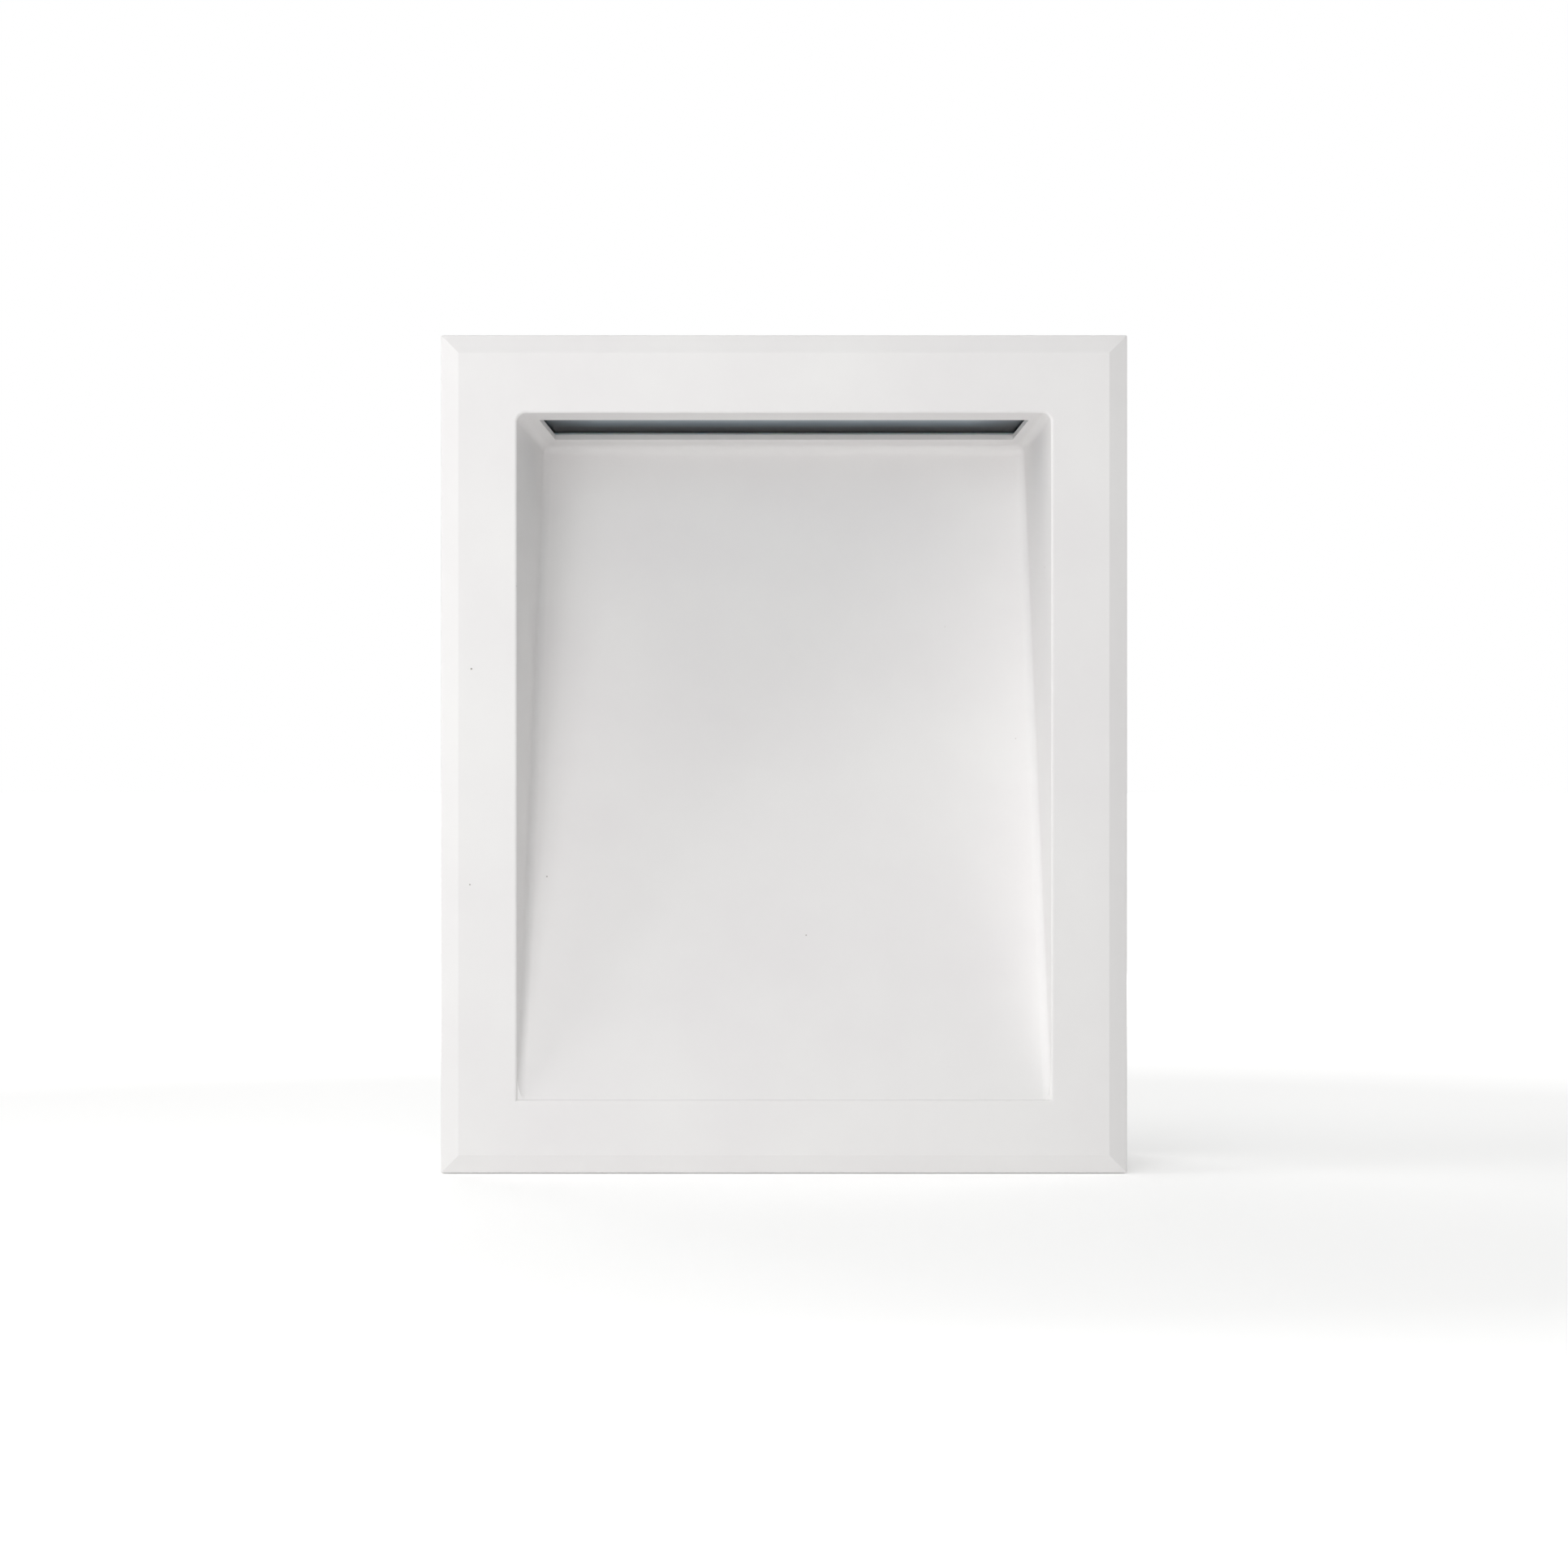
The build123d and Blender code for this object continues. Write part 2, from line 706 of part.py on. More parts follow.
board_height = door_high + board_above_door
board_back = cover_front - board_stand_off
board_front = board_back - board_size[2]
hanger_height = overall_height - hanger_from_top
hanger_screw_offset = hanger_plate[1] / 2 - hanger_screw_inset


def holder_screw_places():
    """X and Z of the screws round the battery door."""
    rows = (battery_centre_height - holder_screw_offset, battery_centre_height + holder_screw_offset)
    return [(side * holder_screw_x, z) for side in (-1, 1) for z in rows]


def board_screw_places():
    """X and Z of the driver board's screws."""
    reach_x = board_size[0] / 2 - board_hole_inset
    reach_z = board_size[1] / 2 - board_hole_inset
    return [(x, board_height + z) for x in (-reach_x, reach_x) for z in (-reach_z, reach_z)]


def hanger_screw_places():
    """X and Z of the hangers' screws."""
    rows = (hanger_height - hanger_screw_offset, hanger_height + hanger_screw_offset)
    return [(side * hanger_spacing / 2, z) for side in (-1, 1) for z in rows]


def hinge_rod(radius, low, high):
    """A cylinder on the door hinge's axis between two heights."""
    return Pos(hinge_x, at_depth(hinge_depth), low) * rod(radius, high - low)


def rear_cover():
    """The back panel: a plate with a switch well, board posts, hinge knuckles and openings."""
    middle = (cover_top + cover_bottom) / 2
    plate = rounded_plate(2 * cover_half_width, cover_top - cover_bottom, cover_thickness, cover_corner)
    plate = chamfer(plate.faces().sort_by(Axis.Z)[-1].edges(), cover_edge)
    cover = facing_back(0, cover_front, middle) * plate
    through = (cover_front - 1, overall_depth + 1)
    cover -= block((-door_width / 2, door_width / 2), through, (door_low, door_high))
    for low in (door_low, door_high - cover_knuckle_length):
        high = low + cover_knuckle_length
        web = (-door_width / 2 - hinge_web_overlap, hinge_x)
        cover += block(web, (cover_front, overall_depth), (low, high))
        cover += hinge_rod(hinge_radius, low, high)
    cover -= hinge_rod(hinge_pin_radius + hinge_running_gap, door_low + 1, door_high - 1)
    for x, z in post_places():
        hole = countersink(m3_head, m3_shank, cover_thickness + 1)
        cover -= facing_back(x, overall_depth, z) * hole
    for x, z in holder_screw_places():
        hole = countersink(small_head, small_shank, cover_thickness + 1)
        cover -= facing_back(x, overall_depth, z) * hole
    post = rod(board_post_radius, board_stand_off)
    pilot = rod(small_shank + static_gap, board_screw_length)
    for x, z in board_screw_places():
        cover += facing_front(x, cover_front, z) * post
        cover -= facing_back(x, board_front + slip, z) * pilot
    well = rounded_plate(
        switch_bezel[0] + 2 * well_margin,
        switch_bezel[1] + 2 * well_margin,
        switch_well_depth + 1,
        bezel_corner + well_margin,
    )
    shell_of_well = rounded_plate(
        switch_bezel[0] + 2 * (well_margin + well_wall),
        switch_bezel[1] + 2 * (well_margin + well_wall),
        switch_well_depth + well_wall,
        bezel_corner + well_margin + well_wall,
    )
    cover += facing_back(switch_x, well_floor - well_wall, switch_height) * shell_of_well
    cover -= facing_back(switch_x, well_floor, switch_height) * well
    cover -= block(
        (switch_x - switch_body[0] / 2 - slip / 2, switch_x + switch_body[0] / 2 + slip / 2),
        (well_floor - well_wall - 1, well_floor + 1),
        (switch_height - switch_body[1] / 2 - slip / 2, switch_height + switch_body[1] / 2 + slip / 2),
    )
    vent = slot_plate(vent_width, vent_height, cover_thickness + 2)
    vent_height_centre = overall_height - vent_from_top - vent_height / 2
    for index in range(vent_count):
        x = (index - (vent_count - 1) / 2) * vent_pitch
        cover -= facing_back(x, cover_front - 1, vent_height_centre) * vent
    window = slot_plate(*hanger_window, cover_thickness + 2)
    for side in (-1, 1):
        cover -= facing_back(side * hanger_spacing / 2, cover_front - 1, hanger_height) * window
    hole = rod(small_shank + static_gap, plate_screw_length - hanger_plate[2] + slip)
    for x, z in hanger_screw_places():
        cover -= facing_back(x, cover_front, z) * hole
    return cover


def cover_screws():
    """Countersunk screws round the rear cover."""
    screw = flat_screw(m3_head, m3_shank, cover_screw_length)
    return [facing_back(x, overall_depth, z) * screw for x, z in post_places()]


def cover_inserts():
    """Brass inserts in the ends of the six posts."""
    ring = insert_ring(insert_length)
    return [facing_back(x, cover_front, z) * ring for x, z in post_places()]


# ---------------------------------------------------------------- wall hangers
def keyhole_plates():
    """Steel plates behind the cover's two windows, each with a keyhole."""
    width, height, thickness = hanger_plate
    plate = rounded_plate(width, height, thickness, hanger_plate_corner)
    entry = Pos(0, -hanger_drop / 2, -1) * rod(hanger_entry_radius, thickness + 2)
    top = Pos(0, hanger_drop / 2, -1) * rod(hanger_slot_radius, thickness + 2)
    neck = Pos(0, 0, thickness / 2) * Box(2 * hanger_slot_radius, hanger_drop, thickness + 2)
    plate -= entry + top + neck
    hole = rod(small_shank + screw_hole_gap, thickness + 2)
    for side in (-1, 1):
        plate -= Pos(0, side * hanger_screw_offset, -1) * hole
    return [
        facing_back(side * hanger_spacing / 2, cover_front - thickness, hanger_height) * plate
        for side in (-1, 1)
    ]


def plate_screws():
    """Screws that hold the keyhole plates, driven from inside."""
    screw = pan_screw(small_head, small_head_height, small_shank, plate_screw_length)
    distance = cover_front - hanger_plate[2]
    return [facing_front(x, distance, z) * screw for x, z in hanger_screw_places()]


# ---------------------------------------------------------------- battery door
def finger_notch():
    """The round bite out of the door's free edge, through the holder's flange too."""
    reach = 10.0
    bite = rod(finger_radius, 2 * reach)
    return facing_back(door_width / 2, overall_depth - reach, battery_centre_height) * bite


def battery_door():
    """The door, with one long knuckle, a finger notch and pockets for its steel keepers."""
    low = door_low + door_gap
    high = door_high - door_gap
    free_edge = door_width / 2 - door_gap
    door = block((hinge_x, free_edge), (door_inner_face, overall_depth), (low, high))
    clear = hinge_x + hinge_radius + hinge_notch_gap
    knuckle_low = battery_centre_height - hinge_inner + hinge_end_gap
    knuckle_high = battery_centre_height + hinge_inner - hinge_end_gap
    for ends in ((low - 1, knuckle_low), (knuckle_high, high + 1)):
        through = (door_inner_face - 1, overall_depth + 1)
        door -= block((hinge_x - hinge_radius - 1, clear), through, ends)
    corners = [edge for edge in door.edges().filter_by(Axis.Y) if edge.center().X > free_edge - 1]
    door = fillet(corners, door_corner)
    door += hinge_rod(hinge_radius, knuckle_low, knuckle_high)
    door -= hinge_rod(hinge_pin_radius + hinge_running_gap, low, high)
    door -= finger_notch()
    width, length, deep = grip_size
    for index in range(grip_count):
        x = free_edge - grip_from_edge - index * grip_pitch
        groove = slot_plate(width, length, 2 * deep)
        door -= facing_back(x, overall_depth - deep, battery_centre_height) * groove
    pocket = rod(magnet_radius + static_gap, keeper_thickness + 1)
    for x, z in magnet_places():
        door -= facing_back(x, door_inner_face - 1, z) * pocket
    return door


def magnet_places():
    """X and Z of the two magnets of the door's catch."""
    x = door_width / 2 - magnet_from_edge
    return [(x, battery_centre_height + side * magnet_spread / 2) for side in (-1, 1)]


def door_keepers():
    """Steel discs in the door."""
    disc = rod(magnet_radius, keeper_thickness)
    return [facing_back(x, door_inner_face, z) * disc for x, z in magnet_places()]


def door_magnets():
    """Magnets in the holder's flange, opposite the keepers."""
    disc = rod(magnet_radius, magnet_thickness)
    return [facing_back(x, cover_front - magnet_thickness, z) * disc for x, z in magnet_places()]


def hinge_pin():
    """The door's steel pin."""
    return hinge_rod(hinge_pin_radius, door_low + hinge_pin_inset, door_high - hinge_pin_inset)


# ---------------------------------------------------------------- battery holder and cells
cell_depth = cover_front - cell_set_back - cell_radius
holder_floor = cell_depth - cell_radius - slip
contact_face = bay_half_length - contact_thickness
floor_back = holder_floor - holder_wall


def cell_height(index):
    """Z of a cell's axis, counted from the lowest."""
    return battery_centre_height + (index - (cell_count - 1) / 2) * cell_pitch


def cell_side(index):
    """The side that a cell's positive tip points to: they alternate."""
    return 1 if index % 2 == 0 else -1


def along_cell(x, index, side):
    """A place on a cell's axis whose local Z points to one side."""
    origin = (x, at_depth(cell_depth), cell_height(index))
    return Plane(origin=origin, x_dir=(0, 0, 1), z_dir=(side, 0, 0)).location


def contact_tag(index, gap=0.0):
    """The tag that brings a single contact out through the holder's right wall."""
    z = cell_height(index)
    return block(
        (contact_face, bay_half_length + holder_wall + tag_reach),
        (cell_depth - contact_thickness / 2 - gap, cell_depth + contact_thickness / 2 + gap),
        (z - tag_half_width - gap, z + tag_half_width + gap),
    )


def battery_holder():
    """An open tray for the cells, whose flange screws to the cover and stops the door."""
    zc = battery_centre_height
    outer_x = bay_half_length + holder_wall
    outer_z = bay_half_height + holder_wall
    holder = block((-outer_x, outer_x), (floor_back, cover_front), (zc - outer_z, zc + outer_z))
    flange = rounded_plate(
        door_width + 2 * holder_flange_reach,
        door_height + 2 * holder_flange_reach,
        holder_flange_thickness,
        holder_flange_corner,
    )
    holder += facing_back(0, cover_front - holder_flange_thickness, zc) * flange
    for x, z in holder_screw_places():
        boss = rod(board_post_radius, board_stand_off)
        holder += facing_front(x, cover_front - holder_flange_thickness, z) * boss
        pilot = rod(small_shank + static_gap, holder_screw_length)
        holder -= facing_back(x, overall_depth - holder_screw_length - slip, z) * pilot
    holder -= block(
        (-bay_half_length, bay_half_length),
        (holder_floor, cover_front + 1),
        (zc - bay_half_height, zc + bay_half_height),
    )
    for index in range(cell_count - 1):
        z = (cell_height(index) + cell_height(index + 1)) / 2
        holder += block(
            (-bay_half_length + cell_rib_end_gap, bay_half_length - cell_rib_end_gap),
            (holder_floor - holder_wall / 2, holder_floor + cell_rib_height),
            (z - cell_rib_thickness / 2, z + cell_rib_thickness / 2),
        )
    relief = hinge_radius + hinge_relief
    holder -= block(
        (hinge_x - relief, hinge_x + relief),
        (hinge_depth - relief, cover_front + 1),
        (door_low - hinge_relief, door_high + hinge_relief),
    )
    for x, z in magnet_places():
        pocket = rod(magnet_radius + static_gap, magnet_thickness + 1)
        holder -= facing_back(x, cover_front - magnet_thickness, z) * pocket
    for index in (0, cell_count - 1):
        holder -= contact_tag(index, slip / 2)
    holder -= finger_notch()
    return holder


def holder_screws():
    """Small countersunk screws that hold the holder to the cover."""
    screw = flat_screw(small_head, small_shank, holder_screw_length)
    return [facing_back(x, overall_depth, z) * screw for x, z in holder_screw_places()]


def battery_cells():
    """AA cells that lie across the box, tips to alternate sides."""
    from_shoulder, width, deep = cell_groove
    body = fillet(rod(cell_radius, cell_length).edges(), cell_edge)
    tip = rod(cell_tip_radius, cell_tip_length)
    tip = fillet(tip.edges().sort_by(Axis.Z)[-1], cell_tip_edge)
    groove = rod(cell_radius + 1, width) - rod(cell_radius - deep, width)
    cell = body + Pos(0, 0, cell_length) * tip - Pos(0, 0, cell_length - from_shoulder) * groove
    cells = []
    for index in range(cell_count):
        side = cell_side(index)
        start = side * (contact_face - cell_tip_length - cell_length)
        cells.append(along_cell(start, index, side) * cell)
    return cells


def cell_springs():
    """A conical spring at each cell's flat end."""
    height = spring_space - 2 * spring_wire
    coil = Helix(height / spring_turns, height, spring_radius, cone_angle=spring_cone)
    start = Plane(origin=coil @ 0, z_dir=coil % 0)
    spring = sweep(start * Circle(spring_wire), path=coil, is_frenet=True)
    springs = []
    for index in range(cell_count):
        side = -cell_side(index)
        root = side * (contact_face - spring_wire)
        springs.append(along_cell(root, index, -side) * spring)
    return springs


def cell_contacts():
    """Plates that join the cells in a chain; the two ends of the chain have tags to the right."""
    chains = {1: [(0, 0), (1, 2), (3, 3)], -1: [(0, 1), (2, 3)]}
    plates = []
    for side, pairs in chains.items():
        edges = sorted((side * contact_face, side * bay_half_length))
        for first, last in pairs:
            plate = block(
                edges,
                (cell_depth - contact_reach, cell_depth + contact_reach),
                (cell_height(first) - contact_reach, cell_height(last) + contact_reach),
            )
            if first == last:
                plate += contact_tag(first)
            plates.append(plate)
    return plates


# ---------------------------------------------------------------- driver board
def on_board(x, z, above=0.0):
    """A place on or above the driver board's front face, looking towards the front."""
    return facing_front(x, board_front - above, board_height + z)


def board_box(place, size, above=0.0):
    """A box that stands on the driver board: its place is its middle, from the board's centre."""
    solid = Box(*size, align=(Align.CENTER, Align.CENTER, Align.MIN))
    return on_board(*place, above) * solid


def driver_board():
    """The circuit board, with a hole at each corner."""
    board = facing_back(0, board_front, board_height) * rounded_plate(*board_size, board_corner)
    hole = rod(small_shank + screw_hole_gap, board_size[2] + 2)
    for x, z in board_screw_places():
        board -= facing_back(x, board_front - 1, z) * hole
    return board


def footed_can(place, foot, foot_corner, radius, height, edge):
    """A round part with softened edges on a square foot."""
    base_plate = on_board(*place) * rounded_plate(*foot, foot_corner)
    can = on_board(*place, foot[2]) * fillet(rod(radius, height).edges(), edge)
    return base_plate + can


def driver_inductor():
    """A wound inductor with a square foot."""
    return footed_can(
        inductor_place, inductor_foot, inductor_foot_corner,
        inductor_radius, inductor_height, inductor_edge,
    )


def driver_capacitors():
    """Two can capacitors, each with a square foot."""
    return [
        footed_can(
            place, capacitor_foot, capacitor_foot_corner,
            capacitor_radius, capacitor_height, capacitor_edge,
        )
        for place in capacitor_places
    ]


def driver_chips():
    """The driver chip and the resistors round it."""
    resistors = [board_box(place, resistor_size) for place in resistor_places]
    return [board_box(chip_place, chip_size)] + resistors


connector_face = board_size[0] / 2 - connector_from_edge
connector_depth = board_front - connector_wire_height
connector_height_low = board_height - connector_offset
connector_height_high = board_height + connector_offset


def wire_connectors():
    """Two wire connectors at the board's right edge, each with a shallow mouth."""
    pair = []
    for z in (-connector_offset, connector_offset):
        place = (connector_face - connector_size[0] / 2, z)
        body = board_box(place, connector_size)
        pair.append(body - board_box(place, connector_mouth, connector_size[2] - connector_mouth[2] / 2))
    return pair


def board_screws():
    """Pan-head screws through the driver board."""
    screw = pan_screw(small_head, small_head_height, small_shank, board_screw_length)
    return [facing_front(x, board_front, z) * screw for x, z in board_screw_places()]


# ---------------------------------------------------------------- rocker switch
pivot_depth = well_floor + pivot_above_floor
rocker_width = switch_body[0] - 2 * (rocker_clearance + switch_side_wall)
rocker_radius = switch_body[1] / 2 - rocker_clearance - switch_end_wall


def switch_housing():
    """The switch's case and bezel, open at the back for the rocker."""
    width, height, rise = switch_bezel
    bezel = rounded_plate(width, height, rise, bezel_corner)
    bezel = fillet(bezel.faces().sort_by(Axis.Z)[-1].edges(), bezel_edge)
    housing = facing_back(switch_x, well_floor, switch_height) * bezel
    housing += block(
        (switch_x - switch_body[0] / 2, switch_x + switch_body[0] / 2),
        (well_floor - switch_body[2], well_floor),
        (switch_height - switch_body[1] / 2, switch_height + switch_body[1] / 2),
    )
    reach_x = rocker_width / 2 + rocker_clearance
    reach_z = rocker_radius + rocker_clearance
    housing -= block(
        (switch_x - reach_x, switch_x + reach_x),
        (pivot_depth - rocker_floor, overall_depth),
        (switch_height - reach_z, switch_height + reach_z),
    )
    hole_reach = rocker_width / 2 + trunnion_length + trunnion_end_gap
    hole = Plane(origin=(switch_x - hole_reach, at_depth(pivot_depth), switch_height), z_dir=(1, 0, 0))
    housing -= hole.location * rod(trunnion_radius + hinge_running_gap, 2 * hole_reach)
    return housing


def switch_rocker():
    """The rocker at rest, tipped to its off side, with a stub axle each side."""
    rise = rocker_rise + (rocker_radius + 1) * tan(radians(rocker_slope))
    outline = Polyline(
        (-rocker_keel, -rocker_radius - 1),
        (rise, -rocker_radius - 1),
        (rocker_rise, 0),
        (rise, rocker_radius + 1),
        (-rocker_keel, rocker_radius + 1),
        close=True,
    )
    half = rocker_width / 2
    rocker = extrude(Plane.YZ * make_face(outline), half, both=True)
    drum = Plane(origin=(-half, 0, 0), z_dir=(1, 0, 0)).location * rod(rocker_radius, rocker_width)
    rocker = rocker & drum
    face_edges = [
        edge for edge in rocker.edges()
        if edge.center().Y > rocker_rise and abs(edge.center().X) > half / 2
    ]
    rocker = fillet(face_edges, rocker_edge)
    reach = half + trunnion_length
    rocker += Plane(origin=(-reach, 0, 0), z_dir=(1, 0, 0)).location * rod(trunnion_radius, 2 * reach)
    return Pos(switch_x, at_depth(pivot_depth), switch_height) * Rot(-rocker_travel / 2, 0, 0) * rocker


def switch_terminals():
    """The two tabs on the switch's inner end."""
    width, thickness, length = terminal_size
    inner = well_floor - switch_body[2]
    tabs = []
    for side in (-1, 1):
        z = switch_height + side * terminal_spacing / 2
        tabs.append(block(
            (switch_x - width / 2, switch_x + width / 2),
            (inner - length, inner),
            (z - thickness / 2, z + thickness / 2),
        ))
    return tabs


# ---------------------------------------------------------------- base pads
def base_pads():
    """Rubber pads let into the base, standing a little below it."""
    pad = rod(pad_radius, pad_pocket + pad_stand_off)
    pad = fillet(pad.edges().sort_by(Axis.Z)[0], pad_stand_off * pad_edge_share)
    return [Pos(x, at_depth(distance), 0) * pad for x, distance in pad_places()]


# ---------------------------------------------------------------- wires
tag_end = bay_half_length + holder_wall + tag_reach
terminal_end = well_floor - switch_body[2] - terminal_size[2]
lane_x = opening_half - connector_depth * slope_in + recess_wall + lane_gap


def wire(points, bend):
    """A round wire along straight runs joined by arcs."""
    path = FilletPolyline(*points, radius=bend)
    start = Plane(origin=path @ 0, z_dir=path % 0)
    return sweep(start * Circle(wire_radius), path=path)


def point(x, distance, z):
    """A point from its X, depth and Z."""
    return (x, at_depth(distance), z)


def battery_lead_red():
    """From the chain's positive tag to the switch's lower terminal."""
    z = cell_height(0)
    low_terminal = switch_height - terminal_spacing / 2
    bend_depth = terminal_end - terminal_run
    first_x = tag_end + red_lead_run
    return wire([
        point(tag_end, cell_depth, z),
        point(first_x, cell_depth, z),
        point(first_x + lead_step / 2, bend_depth + lead_step, z + lead_step),
        point(switch_x, bend_depth, low_terminal),
        point(switch_x, terminal_end, low_terminal),
    ], tight_wire_bend)


def switch_lead():
    """From the switch's upper terminal to the lower connector on the driver board."""
    high_terminal = switch_height + terminal_spacing / 2
    z = connector_height_low + wire_pair_offset
    return wire([
        point(switch_x, terminal_end, high_terminal),
        point(switch_x, terminal_end - 2 * lead_step, high_terminal),
        point(switch_x, terminal_end - lead_step, high_terminal + switch_lead_rise),
        point(connector_face + connector_run, connector_depth, z),
        point(connector_face, connector_depth, z),
    ], tight_wire_bend)


def battery_lead_black():
    """From the chain's negative tag to the lower connector on the driver board."""
    z = connector_height_low - wire_pair_offset
    return wire([
        point(tag_end, cell_depth, cell_height(3)),
        point(tag_end + black_lead_run, cell_depth, cell_height(3)),
        point(tag_end + black_lead_run, connector_depth, z),
        point(connector_face, connector_depth, z),
    ], wire_bend)


def lamp_leads():
    """Two wires from the lamp board, through the right end cap and down the side to the driver board."""
    leads = []
    for shift in (0, wire_spacing):
        start = lamp_plane.from_local_coords((connector_x + led_connector_size[0], shift, lead_height))
        turn = lamp_plane.from_local_coords((lane_x + shift, shift, lead_height))
        z = connector_height_high + wire_spacing / 2 - shift
        leads.append(wire([
            (start.X, start.Y, start.Z),
            (turn.X, turn.Y, turn.Z),
            point(lane_x + shift, connector_depth, turn.Z - wire_bend),
            point(lane_x + shift, connector_depth, z),
            point(connector_face, connector_depth, z),
        ], wire_bend))
    return leads


def cable_clips():
    """Posts on the rear cover that hold the lamp's wires, one hole for each wire."""
    width, height, deep = clip_size
    centre = lane_x + wire_spacing / 2
    clips = []
    for index in range(clip_count):
        z = hanger_height - clip_below_hanger + index * clip_pitch
        clip = block(
            (centre - width / 2, centre + width / 2),
            (connector_depth - deep / 2, connector_depth + deep / 2),
            (z - height / 2, z + height / 2),
        )
        clip += block(
            (centre - clip_post_half, centre + clip_post_half),
            (connector_depth, cover_front),
            (z - height / 2, z + height / 2),
        )
        for x in (lane_x, lane_x + wire_spacing):
            hole = rod(wire_radius + static_gap, 2 * height)
            clip -= Pos(x, at_depth(connector_depth), z - height) * hole
        clips.append(clip)
    return clips


# ---------------------------------------------------------------- write every node
SINGLE = [
    front_shell, window_glass, lamp_tray, thermal_tape, led_board, led_connector, glare_baffle,
    rear_cover, battery_door, hinge_pin, battery_holder, driver_board, driver_inductor,
    switch_housing, switch_rocker, battery_lead_red, switch_lead, battery_lead_black,
]
GROUPS = [
    tray_screws, tray_inserts, led_chips, lamp_end_caps, cover_screws, cover_inserts, keyhole_plates,
    plate_screws, door_keepers, door_magnets, holder_screws, battery_cells, cell_springs, cell_contacts,
    driver_capacitors, driver_chips, wire_connectors, board_screws, switch_terminals, base_pads,
    lamp_leads, cable_clips,
]

os.makedirs("parts", exist_ok=True)
save("window_gasket", window_ring(glass_ledge))
save("glass_pad", window_ring(glass_ledge + gasket_thickness + glass_thickness))
for make in SINGLE:
    save(make.__name__, make())
for make in GROUPS:
    save(make.__name__, *make())
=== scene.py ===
"""Lit shadow box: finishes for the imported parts, small added pieces, a plain studio and the camera.

Metres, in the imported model's frame: +X is to the right of someone facing the front, +Y goes to the back
and +Z is up. Patterns work in millimetres, so a texture's scale is one over the size of its grain.
"""

from math import radians

import bmesh
import bpy
from mathutils import Matrix, Vector


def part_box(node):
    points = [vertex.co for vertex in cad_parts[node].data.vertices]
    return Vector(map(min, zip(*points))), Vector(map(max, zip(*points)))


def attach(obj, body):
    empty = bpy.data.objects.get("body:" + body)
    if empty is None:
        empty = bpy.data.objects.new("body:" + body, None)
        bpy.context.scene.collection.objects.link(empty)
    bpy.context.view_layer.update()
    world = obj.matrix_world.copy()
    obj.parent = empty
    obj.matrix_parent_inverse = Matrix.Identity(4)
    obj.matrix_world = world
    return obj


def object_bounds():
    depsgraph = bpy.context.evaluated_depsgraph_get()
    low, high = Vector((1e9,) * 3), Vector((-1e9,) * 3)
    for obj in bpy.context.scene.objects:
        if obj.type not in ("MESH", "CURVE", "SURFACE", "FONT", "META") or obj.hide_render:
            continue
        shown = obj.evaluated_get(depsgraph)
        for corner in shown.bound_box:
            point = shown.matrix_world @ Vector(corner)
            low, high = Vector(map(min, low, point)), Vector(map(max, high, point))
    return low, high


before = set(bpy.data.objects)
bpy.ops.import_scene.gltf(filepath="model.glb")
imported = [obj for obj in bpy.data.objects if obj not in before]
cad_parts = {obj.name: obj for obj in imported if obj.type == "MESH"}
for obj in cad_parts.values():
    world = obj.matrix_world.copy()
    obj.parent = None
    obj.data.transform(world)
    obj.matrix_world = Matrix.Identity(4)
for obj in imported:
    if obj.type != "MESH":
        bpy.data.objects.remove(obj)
cad_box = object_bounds()
MM = 0.001

# Sizes in millimetres that the finishes follow
GLASS_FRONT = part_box("window_glass")[0].y / MM
GLASS_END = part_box("window_glass")[1].x / MM
GLASS_LIT = 17           # how far behind the glass's front edge its painted light is still at its brightest
GLASS_DARK = 48          # and how far behind its painted shade is darkest
VOID_PITCH = 8           # one air void in the casting to the next, before most are left out
VOID_RADIUS = 0.35
CELL_PITCH = 15.0        # one battery cell to the next
CELL_SPARE = 0.8         # gap between two cells
CELL_NUB = 1.2           # how far a cell's positive end stands past its shoulder
CELL_FLAT_END = -22.45   # flat end of a cell, measured along the way that it points
LAMP_PITCH = 8.0
LAMP_WELL = 1.2          # radius of the well in each lamp
PAD_HALF = (1.1, 2.3)    # half the width and depth of a lamp's solder pads
RESISTOR_BANK = 4.0      # width of the strip beside the driver chip that holds the resistors
RESISTOR_LENGTH = 2.0
RESISTOR_TIN = 0.62      # middle of a resistor to where its tin starts
CAN_FOOT = 1.25          # thickness of the plastic foot under a capacitor
CAN_SEGMENT = 1.5        # middle of a capacitor to the edge of its polarity segment

# Sizes of the added pieces, in metres
ROUND_BELOW = radians(35)  # an edge that turns by less is shaded as part of a round
BAR_WIDTH = 0.9 * MM
BAR_LENGTH = 4.2 * MM
RING_RADIUS = 2.1 * MM
MARK_HEIGHT = 4.6 * MM   # rocker's middle to the middle of each mark
INK = 0.03 * MM
WIRE_RADIUS = 0.7 * MM
TAB_THICKNESS = 0.8 * MM
SLEEVE_WALL = 0.9 * MM
SLEEVE_LAP = 0.5 * MM    # how far a sleeve's mouth goes up over its tab
SLEEVE_STEPS = [(0.3, 1.08), (5.4, 1.0), (1.6, 0.72), (2.2, 0.62)]  # length in millimetres, and narrowing
SOLDER_MOUND = [         # radius and height in millimetres, from the tag out along the wire
    (0, -0.6), (1.1, -0.6), (1.6, -0.3), (1.75, 0.2), (1.5, 0.8), (1.15, 1.4), (0.95, 2.1), (0.8, 2.8),
    (0, 2.8),
]

